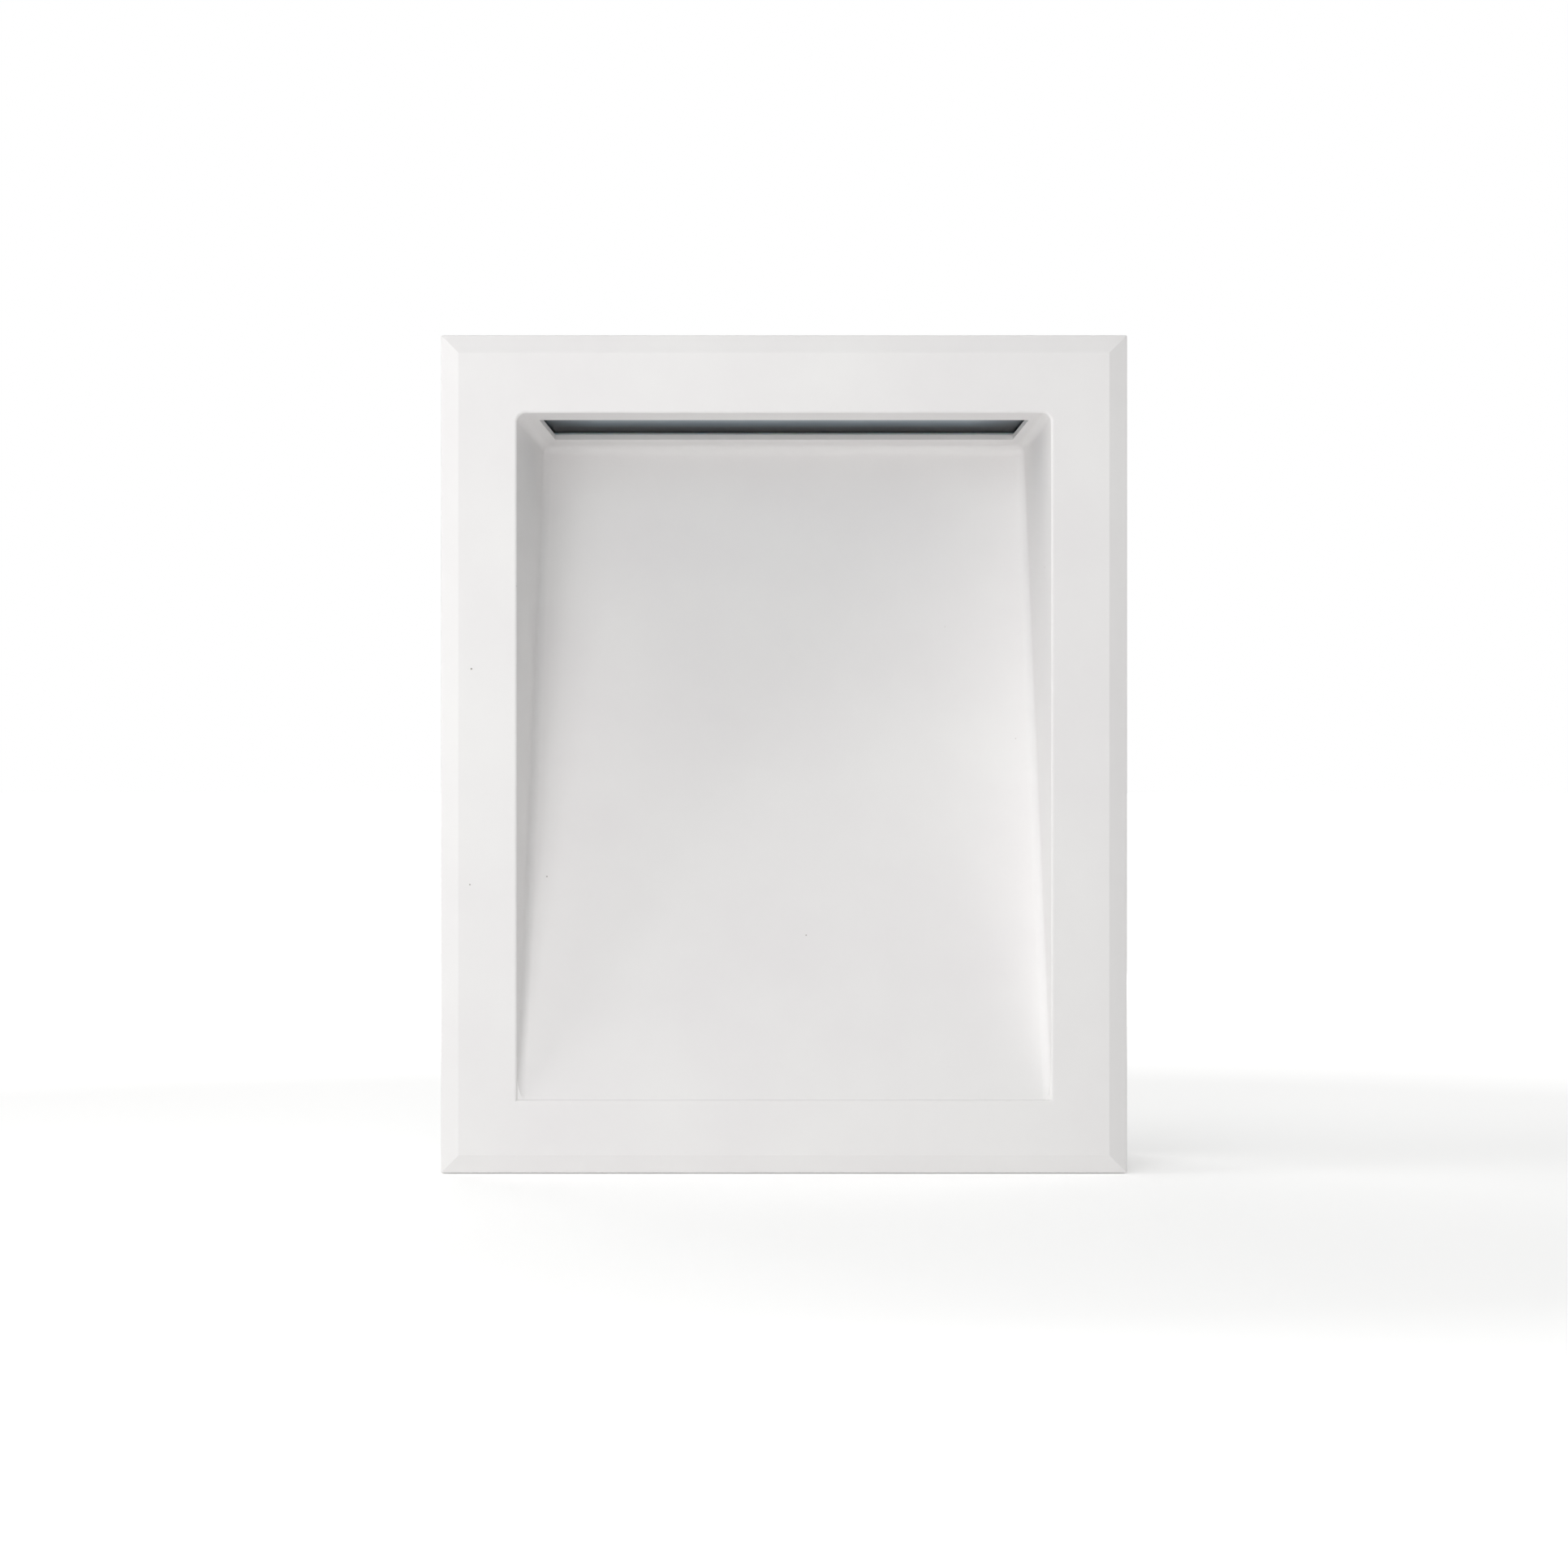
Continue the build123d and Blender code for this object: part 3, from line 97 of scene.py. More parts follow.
# The studio, in metres, and the floor's glow in millimetres from the box
FLOOR_HALF = 60.0
GLOW_NEAR = 0.33
GLOW_FAR = 0.95
GLOW_STARTS = 450.0
GLOW_ENDS = 1400.0
CAMERA_DISTANCE = 1.5    # from the box's front
CAMERA_HEIGHT = 0.1299


# ---------------------------------------------------------------- nodes
def linear(hex_colour):
    """An sRGB hex colour as linear RGBA."""
    channels = [int(hex_colour[i:i + 2], 16) / 255 for i in (1, 3, 5)]
    return [c / 12.92 if c <= 0.04045 else ((c + 0.055) / 1.055) ** 2.4 for c in channels] + [1.0]


def add(tree, kind, inputs=(), **settings):
    """Add a shader node with its settings; an input is a plain value, or a socket that is linked to it."""
    node = tree.nodes.new("ShaderNode" + kind)
    for name, value in settings.items():
        setattr(node, name, value)
    for name, value in dict(inputs).items():
        if isinstance(value, bpy.types.NodeSocket):
            tree.links.new(value, node.inputs[name])
        else:
            node.inputs[name].default_value = value
    return node


def new_finish(name, **shader_inputs):
    """A new material: its tree, its shader with plain settings, and the surface's place in millimetres."""
    material = bpy.data.materials.new(name)
    material.use_nodes = True
    tree = material.node_tree
    tree.nodes.clear()
    shader = add(tree, "BsdfPrincipled", {k.replace("_", " "): v for k, v in shader_inputs.items()})
    add(tree, "OutputMaterial", {"Surface": shader.outputs["BSDF"]})
    metres = add(tree, "TexCoord").outputs["Object"]
    place = add(tree, "VectorMath", {0: metres, "Scale": 1 / MM}, operation="SCALE").outputs["Vector"]
    return material, tree, shader, place


# ---------------------------------------------------------------- the casting and the glass
def cast_composite():
    """Cast mineral composite, sanded and sealed matt.

    The eye gets an even warm white with a faint cloudiness, a fine tooth and a few air voids, each painted
    darker for the shade inside it. The tooth is drawn coarser than sanding leaves it, so that it shows.
    """
    material, tree, shader, place = new_finish("cast_composite", IOR=1.5)
    clouds = add(tree, "TexNoise", {"Vector": place, "Scale": 1 / 55, "Detail": 3.0, "Roughness": 0.55})
    tone = add(tree, "ValToRGB", {"Fac": clouds.outputs["Fac"]})
    tone.color_ramp.elements[0].position = 0.3
    tone.color_ramp.elements[0].color = linear("#F5F3F3")
    tone.color_ramp.elements[1].position = 0.7
    tone.color_ramp.elements[1].color = linear("#F9F8F7")
    cells = add(tree, "TexVoronoi", {"Vector": place, "Scale": 1 / VOID_PITCH, "Randomness": 1.0})
    size = add(tree, "SeparateColor", {"Color": cells.outputs["Color"]}).outputs["Red"]
    reach = add(tree, "MapRange", {"Value": size, "From Min": 0.72, "From Max": 1.0, "To Min": 0.0,
                                   "To Max": VOID_RADIUS / VOID_PITCH})
    gap = add(tree, "Math", {0: cells.outputs["Distance"], 1: reach.outputs["Result"]}, operation="SUBTRACT")
    void = add(tree, "MapRange", {"Value": gap.outputs[0], "From Min": 0.004, "From Max": -0.012})
    # painted shade: each air void is coloured darker for the shade inside the hole
    colour = add(tree, "Mix", {0: void.outputs["Result"], 6: tone.outputs["Color"], 7: linear("#A8A39C")},
                 data_type="RGBA")
    tree.links.new(colour.outputs[2], shader.inputs["Base Color"])
    tooth = add(tree, "TexNoise", {"Vector": place, "Scale": 1 / 0.7, "Detail": 4.0, "Roughness": 0.6})
    gloss = add(tree, "MapRange", {"Value": tooth.outputs["Fac"], "To Min": 0.56, "To Max": 0.68})
    tree.links.new(gloss.outputs["Result"], shader.inputs["Roughness"])
    relief = add(tree, "Math", {0: void.outputs["Result"], 1: -6.0, 2: tooth.outputs["Fac"]},
                 operation="MULTIPLY_ADD")
    bump = add(tree, "Bump", {"Height": relief.outputs[0], "Strength": 0.25, "Distance": 0.03 * MM})
    tree.links.new(bump.outputs["Normal"], shader.inputs["Normal"])
    return material


def smoked_glass():
    """Smoked float glass, acid-etched against glare, with ground edges.

    The eye gets a nearly black strip without clear reflections. Along its front, where light reaches it,
    it is painted a lighter blue-grey that darkens towards the back, and painted shade darkens both its ends.
    """
    material, tree, shader, place = new_finish(
        "smoked_glass", IOR=1.5, Transmission_Weight=0.1, Specular_IOR_Level=0.01)
    axes = add(tree, "SeparateXYZ", {"Vector": place})
    painted_light_wobble = add(tree, "TexNoise", {"Vector": place, "Scale": 1 / 9, "Detail": 4.0})
    drift = add(tree, "Math", {0: painted_light_wobble.outputs["Fac"], 1: 3.0, 2: axes.outputs["Y"]},
                operation="MULTIPLY_ADD")
    fade = add(tree, "MapRange", {"Value": drift.outputs[0], "From Min": GLASS_FRONT + GLASS_LIT,
                                  "From Max": GLASS_FRONT + GLASS_DARK})
    # painted light: pale blue-grey at the glass's front, where light reaches it, darkening to the smoked
    # near-black behind
    smoke_and_painted_light = add(tree, "ValToRGB", {"Fac": fade.outputs["Result"]})
    for depth, tone in ((0.42, "#69767F"), (0.75, "#1F262C")):
        smoke_and_painted_light.color_ramp.elements.new(depth).color = linear(tone)
    smoke_and_painted_light.color_ramp.elements[0].color = linear("#BAC7CF")
    smoke_and_painted_light.color_ramp.elements[-1].color = linear("#07090C")
    # painted shade: both ends of the glass darken towards the slot's end walls
    reach = add(tree, "Math", {0: axes.outputs["X"]}, operation="ABSOLUTE")
    end = add(tree, "MapRange", {"Value": reach.outputs[0], "From Min": GLASS_END - 22,
                                 "From Max": GLASS_END - 4, "To Max": 0.75})
    shaded = add(tree, "Mix", {0: end.outputs["Result"], 6: smoke_and_painted_light.outputs["Color"], 7: linear("#0E1317")},
                 data_type="RGBA")
    tree.links.new(shaded.outputs[2], shader.inputs["Base Color"])
    grit = add(tree, "TexNoise", {"Vector": place, "Scale": 1 / 0.4, "Detail": 3.0})
    gloss = add(tree, "MapRange", {"Value": grit.outputs["Fac"], "To Min": 0.28, "To Max": 0.4})
    tree.links.new(gloss.outputs["Result"], shader.inputs["Roughness"])
    return material


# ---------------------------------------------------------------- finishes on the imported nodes
def mottle(tree, shader, place, size, dark, light, detail=3.0):
    """Base colour that drifts between two tones, in patches of a size in millimetres."""
    patch = add(tree, "TexNoise", {"Vector": place, "Scale": 1 / size, "Detail": detail})
    tone = add(tree, "Mix", {0: patch.outputs["Fac"], 6: linear(dark), 7: linear(light)}, data_type="RGBA")
    tree.links.new(tone.outputs[2], shader.inputs["Base Color"])
    return tone.outputs[2]


def texture(tree, shader, height, low, high, deep, strength=0.5):
    """Roughness from low to high, and a bump so many millimetres deep, both from one height."""
    gloss = add(tree, "MapRange", {"Value": height, "From Min": 0.3, "From Max": 0.7, "To Min": low,
                                   "To Max": high})
    tree.links.new(gloss.outputs["Result"], shader.inputs["Roughness"])
    bump = add(tree, "Bump", {"Height": height, "Strength": strength, "Distance": deep * MM})
    tree.links.new(bump.outputs["Normal"], shader.inputs["Normal"])


def grain(tree, place, size):
    """An even grain of a size in millimetres, from 0 to 1. The finest are drawn at 0.2, so that they show."""
    speck = add(tree, "TexNoise", {"Vector": place, "Scale": 1 / size, "Detail": 3.0, "Roughness": 0.6})
    spread = add(tree, "MapRange", {"Value": speck.outputs["Fac"], "From Min": 0.25, "From Max": 0.75})
    return spread.outputs["Result"]


def coats(tree, shader, colour, *layers):
    """Lay coats over a colour, each where its mask is 1, and give the shader what shows.

    A layer is a mask and a tone, and a tone is a socket or a hex colour.
    """
    for mask, tone in layers:
        under, over = [linear(t) if isinstance(t, str) else t for t in (colour, tone)]
        colour = add(tree, "Mix", {0: mask, 6: under, 7: over}, data_type="RGBA").outputs[2]
    tree.links.new(colour, shader.inputs["Base Color"])


def spark_eroded_abs():
    """ABS moulded in a spark-eroded tool: a cool white with an even, fine matt grain and faint flow marks."""
    material, tree, shader, place = new_finish("spark_eroded_abs", IOR=1.54)
    mottle(tree, shader, place, 45, "#E0E0DF", "#E9E9E8")
    texture(tree, shader, grain(tree, place, 0.6), 0.44, 0.62, 0.06)
    return material


def glass_filled_nylon():
    """Glass-filled nylon, moulded: charcoal black, with pale fibres that float to the skin and streak it."""
    material, tree, shader, place = new_finish("glass_filled_nylon", IOR=1.53)
    streak = add(tree, "VectorMath", {0: place, 1: (0.25, 1.0, 1.0)}, operation="MULTIPLY").outputs["Vector"]
    base = mottle(tree, shader, place, 12, "#17181A", "#1E1F21")
    fibres = add(tree, "MapRange", {"Value": grain(tree, streak, 0.5), "From Min": 0.62, "From Max": 0.9,
                                    "To Max": 0.5})
    coats(tree, shader, base, (fibres.outputs["Result"], "#3A3B3C"))
    texture(tree, shader, grain(tree, place, 0.45), 0.42, 0.6, 0.05)
    return material


def polished_acetal():
    """Acetal, moulded in a polished tool: glossy black with a soft ripple in the reflections."""
    material, tree, shader, place = new_finish("polished_acetal", IOR=1.48)
    mottle(tree, shader, place, 8, "#101112", "#151617")
    texture(tree, shader, grain(tree, place, 2.5), 0.16, 0.26, 0.02, 0.25)
    return material


def matt_polycarbonate():
    """Black polycarbonate for louvres: a dead matt skin that swallows stray light."""
    material, tree, shader, place = new_finish("matt_polycarbonate", IOR=1.58, Specular_IOR_Level=0.25)
    mottle(tree, shader, place, 6, "#0E0E0F", "#141415")
    texture(tree, shader, grain(tree, place, 0.35), 0.7, 0.88, 0.05)
    return material


def epoxy_and_ceramic():
    """Transfer-moulded epoxy on the driver chip, and tinned ends on the bank of resistors at its left."""
    material, tree, shader, place = new_finish("epoxy_and_ceramic", IOR=1.55)
    base = mottle(tree, shader, place, 1.5, "#1D1D1E", "#262627")
    across = add(tree, "SeparateXYZ", {"Vector": place})
    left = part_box("driver_chips")[0].x / MM
    bank = add(tree, "Math", {0: across.outputs["X"], 1: left + RESISTOR_BANK / 2, 2: RESISTOR_BANK / 2},
               operation="COMPARE")
    offset = add(tree, "Math", {0: across.outputs["X"], 1: left + RESISTOR_LENGTH / 2}, operation="SUBTRACT")
    reach = add(tree, "Math", {0: offset.outputs[0]}, operation="ABSOLUTE")
    end = add(tree, "MapRange", {"Value": reach.outputs[0], "From Min": RESISTOR_TIN,
                                 "From Max": RESISTOR_TIN + 0.06})
    tinned = add(tree, "Math", {0: end.outputs["Result"], 1: bank.outputs[0]}, operation="MULTIPLY")
    coats(tree, shader, base, (tinned.outputs[0], "#BFC1C2"))
    tree.links.new(tinned.outputs[0], shader.inputs["Metallic"])
    texture(tree, shader, grain(tree, place, 0.2), 0.4, 0.55, 0.02)
    return material


def black_anodised_aluminium():
    """Sheet aluminium, brushed along its length and anodised black: long fine lines in a satin sheen."""
    material, tree, shader, place = new_finish("black_anodised_aluminium", Metallic=0.75)
    along = add(tree, "VectorMath", {0: place, 1: (0.02, 1.0, 1.0)}, operation="MULTIPLY").outputs["Vector"]
    mottle(tree, shader, along, 0.6, "#1B1C1E", "#2B2D30")
    texture(tree, shader, grain(tree, along, 0.3), 0.3, 0.48, 0.02)
    return material


def zinc_plated_steel():
    """Zinc-plated steel, clear passivated: cool bright grey, with a faint straw cast and soft spangle."""
    material, tree, shader, place = new_finish("zinc_plated_steel", Metallic=1.0)
    cast = mottle(tree, shader, place, 5, "#AEB4B9", "#C6C5BD")
    spangle = add(tree, "TexVoronoi", {"Vector": place, "Scale": 1 / 1.2})
    facet = add(tree, "SeparateColor", {"Color": spangle.outputs["Color"]}).outputs["Red"]
    faint = add(tree, "MapRange", {"Value": facet, "To Max": 0.3})
    coats(tree, shader, cast, (faint.outputs["Result"], "#9DA6AE"))
    texture(tree, shader, grain(tree, place, 0.3), 0.26, 0.42, 0.01)
    return material


def black_oxide_steel():
    """Screws in black oxide with an oil finish: a blue-black skin, worn towards grey in flecks."""
    material, tree, shader, place = new_finish("black_oxide_steel", Metallic=0.9)
    base = mottle(tree, shader, place, 2.5, "#1C1E21", "#2A2C30")
    worn = add(tree, "MapRange", {"Value": grain(tree, place, 0.8), "From Min": 0.72, "From Max": 0.95,
                                  "To Max": 0.6})
    coats(tree, shader, base, (worn.outputs["Result"], "#5C5E60"))
    texture(tree, shader, grain(tree, place, 0.25), 0.3, 0.46, 0.015)
    return material


def nickel_plate():
    """Nickel plate on spring steel: bright with a warm cast and fine drawing lines."""
    material, tree, shader, place = new_finish("nickel_plate", Metallic=1.0)
    mottle(tree, shader, place, 3, "#BBB7AE", "#CFCCC4")
    texture(tree, shader, grain(tree, place, 0.25), 0.16, 0.3, 0.01)
    return material


def turned_brass():
    """Free-cutting brass, turned and knurled: yellow metal with fine tool lines and a little tarnish."""
    material, tree, shader, place = new_finish("turned_brass", Metallic=1.0)
    base = mottle(tree, shader, place, 4, "#B4934A", "#CDAE62")
    tarnish = add(tree, "MapRange", {"Value": grain(tree, place, 1.6), "From Min": 0.6, "From Max": 1.0,
                                     "To Max": 0.45})
    coats(tree, shader, base, (tarnish.outputs["Result"], "#84683A"))
    texture(tree, shader, grain(tree, place, 0.2), 0.22, 0.38, 0.015)
    return material


def shrunk_cell_jacket():
    """Shrunk film on nickel-plated cans: a teal jacket with a pale band at the positive end, and bare ends.

    Every other cell points the other way, so the marks follow the way that each one points.
    """
    material, tree, shader, place = new_finish("shrunk_cell_jacket", IOR=1.5)
    axes = add(tree, "SeparateXYZ", {"Vector": place})
    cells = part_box("battery_cells")
    lowest = cells[0].z / MM - CELL_SPARE / 2
    count = add(tree, "Math", {0: axes.outputs["Z"], 1: lowest}, operation="SUBTRACT")
    step = add(tree, "Math", {0: count.outputs[0], 1: 1 / CELL_PITCH}, operation="MULTIPLY")
    index = add(tree, "Math", {0: step.outputs[0]}, operation="FLOOR")
    odd = add(tree, "Math", {0: index.outputs[0], 1: 2.0}, operation="MODULO")
    side = add(tree, "Math", {0: odd.outputs[0], 1: -2.0, 2: 1.0}, operation="MULTIPLY_ADD")
    along = add(tree, "Math", {0: axes.outputs["X"], 1: side.outputs[0]}, operation="MULTIPLY").outputs[0]
    part = add(tree, "Math", {0: step.outputs[0]}, operation="FRACT")
    around = add(tree, "Math", {0: part.outputs[0], 1: CELL_PITCH, 2: -CELL_PITCH / 2},
                 operation="MULTIPLY_ADD").outputs[0]
    film = mottle(tree, shader, place, 25, "#1C5A58", "#216664", 2.0)
    shoulder = cells[1].x / MM - CELL_NUB
    stroke = 0.42
    printed = [  # a tone, and the limits it is printed within: a direction, its middle and half its width
        ("#D8D6CD", [(along, shoulder - 6.0, 5.3)]),                          # pale band
        ("#C8823A", [(along, shoulder - 12.2, 0.45)]),                        # copper line
        ("#1C5A58", [(along, shoulder - 5.0, 1.7), (around, 0.0, stroke)]),   # plus
        ("#1C5A58", [(along, shoulder - 5.0, stroke), (around, 0.0, 1.7)]),
        ("#D8D6CD", [(along, cells[0].x / MM + 10.5, 1.6), (around, 0.0, stroke)]),  # minus
    ]
    for tone, limits in printed:
        mask = None
        for value, centre, reach in limits:
            inside = add(tree, "Math", {0: value, 1: centre, 2: reach}, operation="COMPARE").outputs[0]
            if mask:
                inside = add(tree, "Math", {0: mask, 1: inside}, operation="MULTIPLY").outputs[0]
            mask = inside
        film = add(tree, "Mix", {0: mask, 6: film, 7: linear(tone)}, data_type="RGBA").outputs[2]
    body_middle = (shoulder + CELL_FLAT_END) / 2
    wrapped = add(tree, "Math", {0: along, 1: body_middle, 2: (shoulder - CELL_FLAT_END) / 2 - 0.35},
                  operation="COMPARE")
    coats(tree, shader, "#C3C0B9", (wrapped.outputs[0], film))
    bare = add(tree, "Math", {0: 1.0, 1: wrapped.outputs[0]}, operation="SUBTRACT")
    tree.links.new(bare.outputs[0], shader.inputs["Metallic"])
    texture(tree, shader, grain(tree, place, 1.4), 0.2, 0.3, 0.02, 0.3)
    return material


def sintered_ferrite():
    """Sintered ferrite on the coil: dull charcoal with a metallic fleck, and painted shade in its fine pits.
    """
    material, tree, shader, place = new_finish("sintered_ferrite", IOR=2.2, Metallic=0.2)
    base = mottle(tree, shader, place, 2, "#2B2B2C", "#343435")
    pits = add(tree, "TexVoronoi", {"Vector": place, "Scale": 1 / 0.5})
    pit = add(tree, "MapRange", {"Value": pits.outputs["Distance"], "From Min": 0.12, "From Max": 0.2,
                                 "To Min": 0.6, "To Max": 0.0})
    # painted shade: the pits are only coloured darker, for the shade inside them
    coats(tree, shader, base, (pit.outputs["Result"], "#161616"))
    texture(tree, shader, grain(tree, place, 0.3), 0.5, 0.7, 0.03)
    return material


def capacitor_can():
    """Drawn aluminium cans on black plastic feet: bright metal with a dark polarity segment on top."""
    material, tree, shader, place = new_finish("capacitor_can")
    axes = add(tree, "SeparateXYZ", {"Vector": place})
    low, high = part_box("driver_capacitors")
    middle = (low + high) / 2 / MM
    foot = high.y / MM - CAN_FOOT
    can = add(tree, "Math", {0: axes.outputs["Y"], 1: foot}, operation="LESS_THAN").outputs[0]
    face = add(tree, "Math", {0: axes.outputs["Y"], 1: low.y / MM + 0.05}, operation="LESS_THAN").outputs[0]
    left = add(tree, "Math", {0: axes.outputs["X"], 1: middle.x - CAN_SEGMENT},
               operation="LESS_THAN").outputs[0]
    segment = add(tree, "Math", {0: face, 1: left}, operation="MULTIPLY").outputs[0]
    metal = mottle(tree, shader, place, 3, "#BFC0C2", "#CFD0D1")
    marked = add(tree, "Mix", {0: segment, 6: metal, 7: linear("#232427")}, data_type="RGBA").outputs[2]
    coats(tree, shader, "#1B1B1C", (can, marked))
    tree.links.new(can, shader.inputs["Metallic"])
    texture(tree, shader, grain(tree, place, 0.25), 0.22, 0.36, 0.01)
    return material


def green_circuit_board():
    """Glass-epoxy board under green solder mask, glossy, with paler tracks raised under the mask."""
    material, tree, shader, place = new_finish("green_circuit_board", IOR=1.55, Coat_Weight=0.4,
                                               Coat_Roughness=0.2)
    flat = add(tree, "SeparateXYZ", {"Vector": place})
    sheet = add(tree, "CombineXYZ", {"X": flat.outputs["X"], "Y": flat.outputs["Z"]}).outputs["Vector"]
    base = mottle(tree, shader, place, 9, "#0E4A2B", "#125533")
    tracks = add(tree, "TexBrick", {"Vector": sheet, "Scale": 1.0, "Mortar Size": 0.16, "Mortar Smooth": 0.4,
                                    "Brick Width": 5.2, "Row Height": 2.1}, offset=0.37)
    coats(tree, shader, base, (tracks.outputs["Fac"], "#2C7A4C"))
    texture(tree, shader, tracks.outputs["Fac"], 0.34, 0.46, 0.035)
    return material


def white_lamp_board():
    """Aluminium-core lamp board under white solder mask, with tinned pads that show past each lamp."""
    material, tree, shader, place = new_finish("white_lamp_board", IOR=1.52)
    axes = add(tree, "SeparateXYZ", {"Vector": place})
    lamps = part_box("led_chips")
    base = mottle(tree, shader, place, 7, "#E4E3DE", "#ECEBE6")
    shifted = add(tree, "Math", {0: axes.outputs["X"], 1: LAMP_PITCH / 2}, operation="ADD")
    turn = add(tree, "Math", {0: shifted.outputs[0], 1: LAMP_PITCH}, operation="FLOORED_MODULO")
    across = add(tree, "Math", {0: turn.outputs[0], 1: LAMP_PITCH / 2, 2: PAD_HALF[0]},
                 operation="COMPARE").outputs[0]
    deep = add(tree, "Math", {0: axes.outputs["Y"], 1: (lamps[0].y + lamps[1].y) / 2 / MM, 2: PAD_HALF[1]},
               operation="COMPARE").outputs[0]
    pad = add(tree, "Math", {0: across, 1: deep}, operation="MULTIPLY").outputs[0]
    coats(tree, shader, base, (pad, "#B9BBBC"))
    tree.links.new(pad, shader.inputs["Metallic"])
    texture(tree, shader, grain(tree, place, 0.4), 0.35, 0.5, 0.02)
    return material


def lamp_chip():
    """Lamps in white ceramic-filled housings: each has a round well of yellow phosphor gel."""
    material, tree, shader, place = new_finish("lamp_chip", IOR=1.5)
    axes = add(tree, "SeparateXYZ", {"Vector": place})
    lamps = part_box("led_chips")
    shifted = add(tree, "Math", {0: axes.outputs["X"], 1: LAMP_PITCH / 2}, operation="ADD")
    turn = add(tree, "Math", {0: shifted.outputs[0], 1: LAMP_PITCH}, operation="FLOORED_MODULO")
    x = add(tree, "Math", {0: turn.outputs[0], 1: LAMP_PITCH / 2}, operation="SUBTRACT").outputs[0]
    y = add(tree, "Math", {0: axes.outputs["Y"], 1: (lamps[0].y + lamps[1].y) / 2 / MM},
            operation="SUBTRACT").outputs[0]
    centre = add(tree, "CombineXYZ", {"X": x, "Y": y}).outputs["Vector"]
    radius = add(tree, "VectorMath", {0: centre}, operation="LENGTH").outputs["Value"]
    well = add(tree, "MapRange", {"Value": radius, "From Min": LAMP_WELL,
                                  "From Max": LAMP_WELL - 0.08}).outputs["Result"]
    body = mottle(tree, shader, place, 1.0, "#EEEDE8", "#F4F3EF")
    coats(tree, shader, body, (well, "#E2C23A"))
    texture(tree, shader, grain(tree, place, 0.3), 0.25, 0.4, 0.02)
    return material


def thermal_tape():
    """Ceramic-filled acrylic tape: soft mid grey, dusty and dead matt."""
    material, tree, shader, place = new_finish("thermal_tape", IOR=1.45, Specular_IOR_Level=0.3)
    mottle(tree, shader, place, 4, "#82868A", "#93979A")
    texture(tree, shader, grain(tree, place, 0.4), 0.75, 0.9, 0.03)
    return material


def clear_silicone():
    """Cast silicone rubber: milky, soft and slightly greasy in its shine."""
    material, tree, shader, place = new_finish("clear_silicone", IOR=1.41, Subsurface_Weight=0.3,
                                               Subsurface_Scale=0.002)
    mottle(tree, shader, place, 6, "#D6D9DA", "#E2E4E4")
    texture(tree, shader, grain(tree, place, 0.8), 0.32, 0.48, 0.03)
    return material


def closed_cell_foam():
    """Closed-cell neoprene foam: charcoal, with burst cells on its cut faces, painted darker for their shade.
    """
    material, tree, shader, place = new_finish("closed_cell_foam", IOR=1.4, Specular_IOR_Level=0.2)
    cells = add(tree, "TexVoronoi", {"Vector": place, "Scale": 1 / 0.45}, feature="SMOOTH_F1")
    base = mottle(tree, shader, place, 5, "#2A2B2D", "#343537")
    hole = add(tree, "MapRange", {"Value": cells.outputs["Distance"], "From Min": 0.15, "From Max": 0.4,
                                  "To Min": 0.7, "To Max": 0.0})
    # painted shade inside each burst cell
    coats(tree, shader, base, (hole.outputs["Result"], "#111112"))
    texture(tree, shader, cells.outputs["Distance"], 0.8, 0.95, 0.12)
    return material


def nitrile_rubber():
    """Die-cut nitrile rubber pads: grey-black, matt, with bloom and fine dust."""
    material, tree, shader, place = new_finish("nitrile_rubber", IOR=1.52, Specular_IOR_Level=0.3)
    base = mottle(tree, shader, place, 3, "#252627", "#2E2F30")
    bloom = add(tree, "MapRange", {"Value": grain(tree, place, 1.1), "From Min": 0.55, "From Max": 1.0,
                                   "To Max": 0.35})
    coats(tree, shader, base, (bloom.outputs["Result"], "#5A5A58"))
    texture(tree, shader, grain(tree, place, 0.3), 0.7, 0.88, 0.05)
    return material


def natural_nylon():
    """Unfilled nylon, moulded thin: a warm, slightly see-through white with soft sink marks."""
    material, tree, shader, place = new_finish("natural_nylon", IOR=1.53, Subsurface_Weight=0.2,
                                               Subsurface_Scale=0.0015)
    mottle(tree, shader, place, 4, "#DDD8CA", "#E9E5DA")
    texture(tree, shader, grain(tree, place, 1.8), 0.3, 0.42, 0.03)
    return material


def extruded_pvc(name, dark, light):
    """Extruded PVC on stranded wire: an even colour, satin, with the strands faint under the skin."""
    material, tree, shader, place = new_finish(name, IOR=1.53)
    mottle(tree, shader, place, 6, dark, light)
    lay = add(tree, "TexWave", {"Vector": place, "Scale": 0.25, "Distortion": 1.5, "Detail": 1.0},
              bands_direction="DIAGONAL")
    texture(tree, shader, lay.outputs["Fac"], 0.32, 0.42, 0.02, 0.3)
    return material


def bright_solder():
    """Tin-silver solder, set slowly: bright, with a soft frosted skin."""
    material, tree, shader, place = new_finish("bright_solder", Metallic=1.0)
    mottle(tree, shader, place, 0.8, "#B9BBBD", "#D0D1D2")
    texture(tree, shader, grain(tree, place, 0.35), 0.2, 0.4, 0.02)
    return material


def pad_print_white():
    """Pad-printed two-part ink: a dense matt white that breaks up a little where a thumb presses it."""
    material, tree, shader, place = new_finish("pad_print_white", IOR=1.5)
    base = mottle(tree, shader, place, 2, "#DADAD7", "#E8E8E5")
    rub = add(tree, "MapRange", {"Value": grain(tree, place, 0.35), "From Min": 0.78, "From Max": 0.95,
                                 "To Max": 0.6})
    coats(tree, shader, base, (rub.outputs["Result"], "#8A8A88"))
    texture(tree, shader, grain(tree, place, 0.2), 0.45, 0.6, 0.01)
    return material


